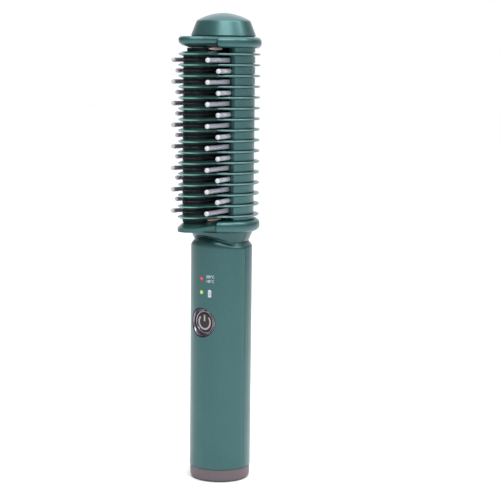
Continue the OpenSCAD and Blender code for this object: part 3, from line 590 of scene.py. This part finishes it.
def front_slot(bm, half_w, front):
    """Takes out what lies in front of a line between the two seams."""
    geom = bm.verts[:] + bm.edges[:] + bm.faces[:]
    bmesh.ops.bisect_plane(bm, geom=geom, plane_co=(0, -front, 0), plane_no=(0, -1, 0))
    for side in (-1, 1):
        geom = bm.verts[:] + bm.edges[:] + bm.faces[:]
        bmesh.ops.bisect_plane(bm, geom=geom, plane_co=(side * half_w, 0, 0), plane_no=(side, 0, 0))
    inside = []
    for face in bm.faces:
        middle = face.calc_center_median()
        if abs(middle.x) < half_w and middle.y < -front:
            inside.append(face)
    bmesh.ops.delete(bm, geom=inside, context="FACES")
    rims = [e for e in bm.edges if len(e.link_faces) == 1]
    bmesh.ops.edgenet_fill(bm, edges=rims)
    bmesh.ops.recalc_face_normals(bm, faces=bm.faces)


def soften_seam(bm, at_y, past_r):
    """Breaks the outer edges of a half shell along the line where the two halves part."""
    seam = []
    for e in bm.edges:
        a, b = (v.co for v in e.verts)
        if max(abs(a.y - at_y), abs(b.y - at_y)) < 0.01 and min(abs(a.x), abs(b.x)) > past_r:
            if abs(a.z - b.z) > 0.05:
                seam.append(e)
    bmesh.ops.bevel(bm, geom=seam, offset=0.22, segments=2, profile=0.5, affect="EDGES", material=-1)


def rear_half():
    """Rear half of the handle, the flanges' rims, the wall behind the comb and the ribs in its slots."""
    bm = bmesh.new()
    rises = [NECK_H * i / 20 for i in range(21)]
    outside = [(HANDLE_R, Z_CAP)] + [(neck_radius(rise), Z_SHOULDER + rise) for rise in rises]
    inside = [(NECK_BORE_R, Z_LO), (NECK_BORE_R, Z_NECK_BORE), (BORE_R, Z_NECK_BORE), (BORE_R, Z_CAP)]
    polyline(bm, [(BORE_R, Z_CAP)] + outside + inside, {1: 0.2})
    spin_round(bm, 96, 180)
    bmesh.ops.holes_fill(bm, edges=bm.edges, sides=200)
    bmesh.ops.recalc_face_normals(bm, faces=bm.faces)
    soften_seam(bm, 0.0, 15.4)
    piece(bm, "handle_rear_half", PAINT, ["rear_shell"], sharp=30)

    bm = bmesh.new()
    for low, high, soft in ((Z_LO, Z_HEAD, 3.1), (Z_HI, Z_TOP, 2.8)):
        rim = bmesh.new()
        polyline(rim, [(0, low), (FLANGE_R, low), (FLANGE_R, high), (0, high)], {1: soft - 0.2, 2: soft})
        spin_round(rim, 144)
        front_slot(rim, SEAM_X + 0.1, -PLATE_BACK - 0.1)
        join(bm, rim)
    piece(bm, "flange_rims", PAINT, sharp=25)

    bm = bmesh.new()
    inner, foot, top = BACK_R - SHELL_WALL, Z_HEAD - 0.1, Z_HI + 0.1
    slot_r, slot_half = BACK_R - 0.8, RIB_T / 2 + 0.42
    wall = [(inner, foot), (BACK_R, foot)]
    for i in range(FIN_COUNT):
        low, high = (Z_FIN + i * FIN_PITCH + side * slot_half for side in (-1, 1))
        wall += [(BACK_R, low), (slot_r, low), (slot_r, high), (BACK_R, high)]
    polyline(bm, wall + [(BACK_R, top), (inner, top), (inner, foot)])
    spin_round(bm, 128)
    cut_away(bm, (0, PLATE_BACK + 0.3, 0), (0, -1, 0))
    bmesh.ops.recalc_face_normals(bm, faces=bm.faces)
    piece(bm, "rear_wall", WALL_PAINT)

    bm = bmesh.new()
    half, root = RIB_T / 2, BACK_R - 1.6
    edge = half - 0.18
    rib = [(root, -half), (BACK_R, -half), (RIB_R, -edge), (RIB_R, edge), (BACK_R, half), (root, half),
           (root, -half)]
    polyline(bm, [(r, Z_FIN + rise) for r, rise in rib], {2: 0.3, 3: 0.3})
    spin_round(bm, 128)
    front_slot(bm, SEAM_X + 0.1, 0.0)
    stack(bm, FIN_COUNT, FIN_PITCH)
    ribs = piece(bm, "rear_ribs", PAINT, sharp=25)
    # The upper side of each rib's rim gets the paler paint: a painted highlight
    ribs.data.materials.append(RIB_EDGE)
    for face in ribs.data.polygons:
        at_rim = math.hypot(face.center.x, face.center.y) > (RIB_R - 0.2) * MM
        if at_rim and over_fin(face.center.z) > -0.1:
            face.material_index = 1


def front_half():
    """Front half of the handle: the CAD's own shape below the neck, and the scooped neck above it."""
    bm = bmesh.new()
    bm.from_mesh(cad["front_shell"].data)
    bmesh.ops.remove_doubles(bm, verts=bm.verts, dist=0.002 * MM)
    bmesh.ops.scale(bm, vec=(1 / MM,) * 3, verts=bm.verts)
    cut_away(bm, (0, 0, Z_SCOOP), (0, 0, 1))
    soften_seam(bm, -0.05, 17.3)
    piece(bm, "handle_front_half", PAINT, ["front_shell"], sharp=30)

    bm = bmesh.new()
    rows = 53
    polyline(bm, [(HANDLE_R, Z_SCOOP + (Z_LO - Z_SCOOP) * i / rows) for i in range(rows + 1)])
    spin_round(bm, 144, 180)
    bmesh.ops.rotate(bm, cent=(0, 0, 0), matrix=Matrix.Rotation(math.pi, 3, "Z"), verts=bm.verts)
    for v in bm.verts:
        rise = v.co.z - Z_SHOULDER
        if rise > 0:
            factor = scooped_radius(rise, max(0.0, -v.co.y / HANDLE_R)) / HANDLE_R
            v.co.x *= factor
            v.co.y *= factor
    for _ in range(8):
        bmesh.ops.smooth_vert(bm, verts=[v for v in bm.verts if Z_SCOOP + 0.5 < v.co.z < Z_LO - 0.3],
                              factor=0.5, use_axis_x=True, use_axis_y=True, use_axis_z=False)
    bmesh.ops.recalc_face_normals(bm, faces=bm.faces)
    bmesh.ops.solidify(bm, geom=bm.faces[:], thickness=-1.2)
    bmesh.ops.recalc_face_normals(bm, faces=bm.faces)
    piece(bm, "scooped_neck", PAINT, sharp=50)


def comb_fins():
    """Sixteen fins with a V-shaped edge whose ridge is slightly blunt, so that it catches the light."""
    bm = bmesh.new()
    low, top = slab(bm, comb_face(bm, Z_FIN - 0.2, [(SEAM_X, -14.9), (6.0, -12.1)]), 0.4)
    for face in (low, top):
        slope_in(bm, face, [(0.2, 0.14), (2.3, 0.98), (0.3, 0.08)])
    stack(bm, FIN_COUNT, FIN_PITCH)
    fins = piece(bm, "comb_fins", FIN, ["heat_comb"], sharp=14)
    # The blunt ridge of each fin gets the paler enamel: a painted highlight
    fins.data.materials.append(FIN_EDGE)
    for face in fins.data.polygons:
        if abs(over_fin(face.center.z)) < 0.3:
            face.material_index = 1


def comb_core():
    """The block between the fins, with its slot, its ridge to the nose and a bare pad at each end."""
    bm = bmesh.new()
    half, slot = CORE_HALF_W, SLOT_HALF_W
    block = [(-half, CORE_FRONT), (half, CORE_FRONT), (half, CORE_BACK), (slot, CORE_BACK),
             (slot, SLOT_FRONT), (-slot, SLOT_FRONT), (-slot, CORE_BACK), (-half, CORE_BACK)]
    floor = [bm.verts.new((x, y, Z_CORE)) for x, y in block]
    slab(bm, bm.faces.new(floor), Z_SLOT_TOP - Z_CORE)
    roof = [bm.verts.new((x, y, Z_SLOT_TOP)) for x, y in block[:3] + block[-1:]]
    slab(bm, bm.faces.new(roof), Z_CORE_TOP - Z_SLOT_TOP)
    ridge = bmesh.ops.create_circle(bm, cap_ends=False, segments=64, radius=RIDGE_HALF_W)["verts"]
    bmesh.ops.translate(bm, vec=(0, RIDGE_Y, Z_CORE), verts=ridge)
    bmesh.ops.delete(bm, geom=[v for v in ridge if v.co.y > RIDGE_Y + 0.01], context="VERTS")
    ridge = [v for v in ridge if v.is_valid]
    left, right = sorted((v for v in ridge if v.co.y > RIDGE_Y - 0.01), key=lambda v: v.co.x)
    rear = [bm.verts.new((x, CORE_FRONT + 0.5, Z_CORE)) for x in (RIDGE_HALF_W, -RIDGE_HALF_W)]
    edges = [bm.edges.new(pair) for pair in ((right, rear[0]), (rear[0], rear[1]), (rear[1], left))]
    loop = set(edges).union(*(v.link_edges for v in ridge))
    face = bmesh.ops.contextual_create(bm, geom=list(loop))["faces"][0]
    for gap in range(FIN_COUNT):
        middle = Z_FIN + (gap - 0.5) * FIN_PITCH
        for rise, swell in ((-1.5, 0.0), (-0.1, 0.3), (0.1, 0.3), (1.5, 0.0)):
            if middle + rise < Z_CORE + 0.1:
                continue
            face = raise_face(bm, face, middle + rise)
            factor = (RIDGE_HALF_W + swell) / max(abs(v.co.x) for v in face.verts)
            bmesh.ops.scale(bm, vec=(factor, factor, 1), verts=face.verts,
                            space=Matrix.Translation((0, -RIDGE_Y, 0)))
    for height, draw in ((Z_RIDGE_TOP, 0.82), (Z_CORE_TOP, 1.0)):
        face = raise_face(bm, face, height)
        bmesh.ops.scale(bm, vec=(1, draw, 1), verts=face.verts, space=Matrix.Translation((0, 12.0, 0)))
    bmesh.ops.recalc_face_normals(bm, faces=bm.faces)
    core = piece(bm, "comb_core", CORE)
    # Crest faces in the middle of each gap get the bronze metal, whose pale patches are a painted
    # highlight
    core.data.materials.append(CREST)
    for face in core.data.polygons:
        mid_gap = abs(over_fin(face.center.z)) > FIN_PITCH / 2 - 0.05
        if mid_gap and abs(face.normal.z) < 0.1 and face.center.y < (CORE_FRONT - 0.1) * MM:
            face.material_index = 1

    bm = bmesh.new()
    for height, half_h in ((151.1, 0.6), (246.0, 0.85)):
        for side in (-1, 1):
            pad = bmesh.ops.create_uvsphere(bm, u_segments=32, v_segments=16, radius=1.0)["verts"]
            bmesh.ops.scale(bm, vec=(PAD_HALF_W, PAD_HALF_D, half_h), verts=pad)
            bmesh.ops.translate(bm, vec=(side * PAD_X, PAD_Y, height), verts=pad)
    piece(bm, "comb_end_pads", PAD)


def head_plates():
    """The comb-shaped plates that complete the flanges."""
    bm = bmesh.new()
    edge, edge_t = 250.5, 0.7
    low, top = slab(bm, comb_face(bm, edge, [(SEAM_X, PLATE_BACK)]), edge_t)
    slope_in(bm, top, [(0.08, 0.35), (0.25, 0.45), (0.4, 0.4), (0.55, 0.3)])
    slope_in(bm, low, [(0.05, 0.45), (0.2, 0.6), (0.45, 0.65), (0.85, 0.65), (1.4, 0.6), (2.0, 0.55),
                       (0.3, 0.2)])
    piece(bm, "upper_head_plate", PAINT, ["head_plate_top"], sharp=25)

    bm = bmesh.new()
    under, edge_top, flat_top = 145.0, 147.2, 150.3
    low, top = slab(bm, comb_face(bm, under, [(SEAM_X, PLATE_BACK)]), edge_top - under)
    slope_in(bm, top, [(0.25, 0.12), (3.0, 2.86), (0.25, 0.12)])
    # From the nose to the seams its edge rises by up to 1 mm; its flat top stays level
    for v in bm.verts:
        near_seam = min(1.0, max(0.0, (v.co.y + 32) / 13))
        if v.co.z > edge_top - 0.1:
            v.co.z += near_seam * (flat_top - v.co.z) / (flat_top - edge_top)
        elif v.co.z < under + 0.1:
            v.co.z += near_seam * 0.9
    spigot = bmesh.new()
    polyline(spigot, [(0, Z_LO), (17.2, Z_LO), (17.2, 146.4), (0, 146.4)])
    spin_round(spigot, 96)
    cut_away(spigot, (0, PLATE_BACK, 0), (0, 1, 0))
    for side in (-1, 1):
        cut_away(spigot, (side * (SEAM_X - 0.1), 0, 0), (side, 0, 0))
    bmesh.ops.recalc_face_normals(spigot, faces=spigot.faces)
    join(bm, spigot)
    plate = piece(bm, "lower_head_plate", PAINT, ["head_plate_bottom"], sharp=25)
    # Its upper slopes and top get the fins' dark enamel: painted shade, for the shade that falls on it
    # under the fins
    plate.data.materials.append(FIN)
    for face in plate.data.polygons:
        if face.center.z > (edge_top + 0.1) * MM and face.normal.z > 0.3:
            face.material_index = 1


def dome():
    """Domed cap with a soft ridge where its cone meets its crown."""
    bm = bmesh.new()
    polyline(bm, [(0, Z_DOME), (18.0, Z_DOME), (18.2, Z_DOME + 0.5), (15.1, Z_DOME + 8.6), (8.2, Z_CROWN),
                  (0, Z_CROWN)], {4: 7.6, 3: 0.9})
    spin_round(bm, 128)
    piece(bm, "dome_shell", PAINT, ["dome_cap"], sharp=40)
    bm = bmesh.new()
    low, high = Z_TOP - 0.1, Z_DOME + 0.1
    polyline(bm, [(15.0, low), (17.5, low), (17.5, high), (15.0, high), (15.0, low)])
    spin_round(bm, 96)
    piece(bm, "dome_seam_ring", RUBBER)


def pins():
    """Pins with ball tips, in two lengths, fanned out on both sides of the comb."""
    for kind, (root, splay, reach, parity) in PIN_ROWS.items():
        shafts, tips = bmesh.new(), bmesh.new()
        end = reach - TIP_L
        shaft_points = [(0, -PIN_SINK), (PIN_D / 2, -PIN_SINK), (PIN_D / 2, end), (0, end)]
        tip_points = [(0, end), (TIP_D / 2, end), (TIP_D / 2, reach), (0, reach)]
        for bm, points, corners in ((shafts, shaft_points, None), (tips, tip_points, {1: 0.4, 2: 1.3})):
            one = polyline(bmesh.new(), points, corners)
            spin_round(one, 28)
            base = bpy.data.meshes.new("pin_pattern")
            one.to_mesh(base)
            one.free()
            for gap in range(1, FIN_COUNT):
                if gap % 2 != parity:
                    continue
                for side in (-1, 1):
                    height = Z_FIN + (gap - 0.5) * FIN_PITCH - PIN_DROP
                    place = (Matrix.Translation((side * root, PIN_ROOT_Y, height))
                             @ Matrix.Rotation(math.radians(side * splay), 4, "Z")
                             @ Matrix.Rotation(math.pi / 2, 4, "X"))
                    count = len(bm.verts)
                    bm.from_mesh(base)
                    bm.verts.ensure_lookup_table()
                    bmesh.ops.transform(bm, matrix=place, verts=bm.verts[count:])
            bpy.data.meshes.remove(base)
        piece(shafts, "pin_shafts_" + kind, PIN, ["pins_" + kind], sharp=40)
        piece(tips, "pin_ball_tips_" + kind, TIP, ["pin_tips_" + kind], sharp=50)


def button():
    """Dished bezel whose rim follows the handle, the button with its skirt, and the power sign on it.

    The outlines are radii round the button, and distances from the handle's axis.
    """
    bm = bmesh.new()
    ring = [(6.65, 12.4), (8.4, 12.4), (8.4, 14.3), (8.12, 14.4), (8.12, 15.2), (7.05, 15.2),
            (6.95, 14.1), (6.6, 14.1), (6.45, 14.8), (5.9, 14.8), (5.55, 14.4), (5.55, 14.05),
            (6.65, 14.05), (6.65, 12.4)]
    polyline(bm, ring, {4: 0.45, 5: 0.45, 8: 0.25, 9: 0.25})
    spin_round(bm)
    for v in bm.verts:
        out = min(1.0, max(0.0, (math.hypot(v.co.x, v.co.y) - 7.0) / 0.9))
        if v.co.z > 13.5:
            v.co.z += out * (math.sqrt(HANDLE_R ** 2 - v.co.x ** 2) - 0.12 - 15.2)
    face_front(bm, Z_BUTTON)
    piece(bm, "bezel_rings", BEZEL, ["button_bezel"], sharp=50)

    bm = bmesh.new()
    disc = [(0, 12.05), (2.0, 12.05), (2.0, 13.25), (6.4, 13.25), (6.4, 13.95), (5.3, 13.95),
            (5.3, 14.6), (4.6, 14.6), (0, 14.5)]
    polyline(bm, disc, {6: 0.35, 7: 0.6})
    spin_round(bm)
    face_front(bm, Z_BUTTON)
    piece(bm, "button_disc", BUTTON, ["power_button"], body="button", sharp=50)

    bm = bmesh.new()
    stroke = [(3.5, 14.45), (3.5, 14.72), (4.6, 14.72), (4.6, 14.45), (3.5, 14.45)]
    polyline(bm, stroke, {1: 0.12, 2: 0.12})
    arc = 268
    spin_round(bm, 64, arc)
    bmesh.ops.holes_fill(bm, edges=bm.edges, sides=24)
    gap_up = Matrix.Rotation(math.radians(90 + (360 - arc) / 2), 3, "Z")
    bmesh.ops.rotate(bm, cent=(0, 0, 0), matrix=gap_up, verts=bm.verts)
    bar = bmesh.ops.create_cube(bm, size=1.0)["verts"]
    bmesh.ops.scale(bm, vec=(1.1, 3.7, 0.27), verts=bar)
    bmesh.ops.translate(bm, vec=(0, 2.3, 14.585), verts=bar)
    bmesh.ops.recalc_face_normals(bm, faces=bm.faces)
    face_front(bm, Z_BUTTON)
    piece(bm, "power_sign", SYMBOL, ["power_symbol"], body="button", sharp=40)


def wrap_on_handle(bm, across, up, radius):
    """Bends a flat print, drawn in XY, round the handle: across is an arc length from the front line."""
    for v in bm.verts:
        turn = (v.co.x + across) / radius
        v.co = Vector((radius * math.sin(turn), -radius * math.cos(turn), v.co.y + up))


def marks():
    """Two rows of figures beside the red light, and a battery sign beside the green one."""
    bm = bmesh.new()
    for text, up in (("200\u00b0C", 118.0), ("180\u00b0C", 115.4)):
        curve = bpy.data.curves.new("figures", "FONT")
        curve.body = text
        curve.size = 2.2
        curve.align_x = "LEFT"
        holder = bpy.data.objects.new("figures", curve)
        mesh = bpy.data.meshes.new_from_object(holder)
        row = bmesh.new()
        row.from_mesh(mesh)
        width = max(v.co.x for v in row.verts)
        bmesh.ops.scale(row, vec=(4.9 / width, 1, 1), verts=row.verts)
        wrap_on_handle(row, 3.1, up, HANDLE_R + 0.02)
        join(bm, row)
        bpy.data.objects.remove(holder)
        bpy.data.curves.remove(curve)
        bpy.data.meshes.remove(mesh)
    piece(bm, "handle_figures", INK)

    bm = bmesh.new()
    for w, h, y in ((1.95, 3.8, 0), (0.95, 0.45, 2.1)):
        block = bmesh.ops.create_grid(bm, x_segments=10, y_segments=10, size=0.5)["verts"]
        bmesh.ops.scale(bm, vec=(w, h, 1), verts=block)
        bmesh.ops.translate(bm, vec=(0, y, 0), verts=block)
    middles = [f.calc_center_median() for f in bm.faces]
    inner = [abs(middle.x) < 0.7 and abs(middle.y) < 1.5 for middle in middles]
    wrap_on_handle(bm, 5.35, 109.0, HANDLE_R + 0.02)
    sign = piece(bm, "battery_sign", INK)
    sign.data.materials.append(GREY_INK)
    for face, grey in zip(sign.data.polygons, inner):
        face.material_index = int(grey)


comb_fins()
comb_core()
head_plates()
dome()
pins()
button()
marks()
rear_half()
front_half()
smooth_copy("end_cap", CAP)

INSIDE = {
    "pin_carriers": CARRIER,
    "heat_light_lens": RED,
    "charge_light_lens": GREEN,
    "seam_gasket": RUBBER,
    "heater_plate": speckled("alumina_ceramic", "#E0DCD4", "#ECE8E0", 0.8, 0.45),
    "heater_insulators": speckled("polyimide_film", "#CF9E54", "#DDB06A", 2.5, 0.25),
    "heater_clamp": STEEL, "clamp_screws": STEEL, "comb_screws": STEEL, "board_screws": STEEL,
    "cap_screws": STEEL, "charge_port_shell": STEEL,
    "thermistor": speckled("black_epoxy", "#232325", "#303033", 0.6, 0.35),
    "thermal_fuse": speckled("tinned_can", "#A0A3A7", "#B4B7BA", 0.9, 0.3, Metallic=1.0),
    "heater_leads": speckled("silicone_jacket", "#A62B24", "#B8362E", 0.8, 0.55),
    "switch_plunger": speckled("acetal_plunger", "#18181A", "#232326", 0.5, 0.4),
    "switch_body": speckled("switch_nylon", "#27272A", "#323235", 0.5, 0.5),
    "main_board": speckled("green_solder_mask", "#1B432A", "#245234", 1.8, 0.3, Coat_Weight=0.4),
    "charge_board": speckled("port_solder_mask", "#1B432A", "#245234", 1.4, 0.3, Coat_Weight=0.4),
    "control_chip": speckled("chip_epoxy", "#18181A", "#222225", 0.4, 0.55),
    "power_transistors": speckled("transistor_epoxy", "#19191B", "#242427", 0.4, 0.55),
    "inductor": speckled("ferrite", "#353333", "#444141", 0.5, 0.6),
    "indicator_leds": speckled("led_resin", "#DED9B6", "#F0EBCC", 0.5, 0.2),
    "battery_cell": speckled("shrink_sleeve", "#3A7799", "#4587B1", 6.0, 0.25),
    "battery_cradle": speckled("cradle_abs", "#303335", "#3A3D3F", 0.5, 0.55),
    "battery_tabs": speckled("nickel_strip", "#ADA58F", "#C3BBA5", 1.0, 0.32, Metallic=1.0),
    "charge_port_tongue": speckled("port_liquid_crystal_polymer", "#161618", "#202023", 0.4, 0.45),
}
for node, material in INSIDE.items():
    slots = cad[node].data.materials
    for index in range(len(slots)):
        slots[index] = material
    if not len(slots):
        slots.append(material)


# Floor, light and camera

# The camera as fitted to the photograph: its azimuth is counted from the front to the right. Its
# focal length and its turn past the axis are in pixels of the photograph's frame, and its distance
# and height are in metres.
AZIMUTH, PITCH, ROLL = math.radians(39.5), math.radians(7.52), math.radians(0.5)
PHOTO_PX, FOCAL_PX, YAW_PX = 500, 1516.0, 28.4
DISTANCE, HEIGHT = 0.860, 0.2456


def paper_floor():
    """Plain pale paper under the object."""
    material, tree, shader, place = finish("studio_paper", Roughness=0.9)
    cloud = add(tree, "ShaderNodeTexNoise", {"Vector": place, "Scale": per_mm(40), "Detail": 3})
    tint(tree, shader, cloud, "#F6F6F6", "#FAFAFA")
    bm = bmesh.new()
    bmesh.ops.create_grid(bm, x_segments=1, y_segments=1, size=4.0)
    bmesh.ops.translate(bm, vec=(0, 0, -0.2 * MM), verts=bm.verts)
    mesh = bpy.data.meshes.new("floor")
    bm.to_mesh(mesh)
    bm.free()
    mesh.materials.append(material)
    made = bpy.data.objects.new("floor", mesh)
    bpy.context.scene.collection.objects.link(made)


def studio_world():
    """A soft studio: brightest above and behind the object, dimmer in front of it and at both sides."""
    behind, above = (-0.636, 0.772, 0.0), (-0.35, 0.42, 0.84)
    left, right = (-0.97, -0.24, 0.0), (0.766, 0.643, 0.0)
    world = bpy.data.worlds.new("studio")
    bpy.context.scene.world = world
    world.use_nodes = True
    sky = world.node_tree
    direction = add(sky, "ShaderNodeTexCoord").outputs["Generated"]

    def toward(side, low, high, far, near):
        """Brightness that runs from far to near as a direction turns towards one side."""
        reach = add(sky, "ShaderNodeVectorMath", {0: direction, 1: side}, operation="DOT_PRODUCT")
        return add(sky, "ShaderNodeMapRange",
                   {"Value": reach.outputs["Value"], "From Min": low, "From Max": high,
                    "To Min": far, "To Max": near}, interpolation_type="SMOOTHSTEP")

    level = toward(behind, 0.4, 0.95, 0.48, 0.7)
    for factor in (toward(left, 0.75, 0.99, 1.0, 0.5), toward(right, 0.5, 0.97, 1.0, 0.5),
                   toward(above, 0.5, 0.95, 1.0, 2.4)):
        level = add(sky, "ShaderNodeMath", {0: level, 1: factor}, operation="MULTIPLY")
    seen = add(sky, "ShaderNodeLightPath").outputs["Is Camera Ray"]
    level = add(sky, "ShaderNodeMix", {"Factor": seen, "A": level, "B": 1.0}, data_type="FLOAT")
    cool = add(sky, "ShaderNodeMix", {"Factor": seen, "A": (0.97, 0.99, 1.03, 1), "B": (1, 1, 1, 1)},
               data_type="RGBA")
    back = sky.nodes["Background"]
    sky.links.new(cool.outputs["Result"], back.inputs["Color"])
    sky.links.new(level.outputs["Result"], back.inputs["Strength"])


def soft_box(name, turn, elevation, width, height, power):
    """A rectangular lamp at a turn to the camera's right and an elevation, in degrees, facing the head."""
    distance, target = 1.2, Vector((0, 0, 0.2))
    a, e = AZIMUTH + math.radians(turn), math.radians(elevation)
    data = bpy.data.lights.new(name, "AREA")
    data.energy = power
    data.shape = "RECTANGLE"
    data.size = width
    data.size_y = height
    made = bpy.data.objects.new(name, data)
    bpy.context.scene.collection.objects.link(made)
    made.location = (distance * math.sin(a) * math.cos(e), -distance * math.cos(a) * math.cos(e),
                     0.15 + distance * math.sin(e))
    made.rotation_euler = (target - made.location).to_track_quat("-Z", "Y").to_euler()


def overhead_light():
    """A wide, weak lamp straight above."""
    data = bpy.data.lights.new("overhead", "SUN")
    data.energy = 1.0
    data.angle = math.radians(50)
    bpy.context.scene.collection.objects.link(bpy.data.objects.new("overhead", data))


def photo_camera():
    """The photograph's camera: it looks past the object's axis, and is turned and rolled a little."""
    across = Vector((math.cos(AZIMUTH), math.sin(AZIMUTH), 0))
    ahead = Vector((-math.sin(AZIMUTH) * math.cos(PITCH), math.cos(AZIMUTH) * math.cos(PITCH),
                    -math.sin(PITCH)))
    upward = across.cross(ahead)
    yaw = math.atan(YAW_PX / FOCAL_PX)
    ahead = (ahead * math.cos(yaw) + across * math.sin(yaw)).normalized()
    across = ahead.cross(upward).normalized()
    right = across * math.cos(ROLL) + upward * math.sin(ROLL)
    top = upward * math.cos(ROLL) - across * math.sin(ROLL)
    lens = bpy.data.cameras.new("camera")
    lens.sensor_width = 36
    lens.lens = FOCAL_PX * lens.sensor_width / PHOTO_PX
    camera = bpy.data.objects.new("camera", lens)
    bpy.context.scene.collection.objects.link(camera)
    stand = Vector((math.sin(AZIMUTH) * DISTANCE, -math.cos(AZIMUTH) * DISTANCE, HEIGHT))
    camera.matrix_world = Matrix.Translation(stand) @ Matrix((right, top, -ahead)).transposed().to_4x4()
    bpy.context.scene.camera = camera


paper_floor()
studio_world()
soft_box("front_box", 10, 54, 0.85, 0.5, 8.8)
soft_box("right_box", 78, 50, 0.3, 0.6, 4.8)
overhead_light()
photo_camera()
bpy.context.scene.view_settings.view_transform = "Standard"
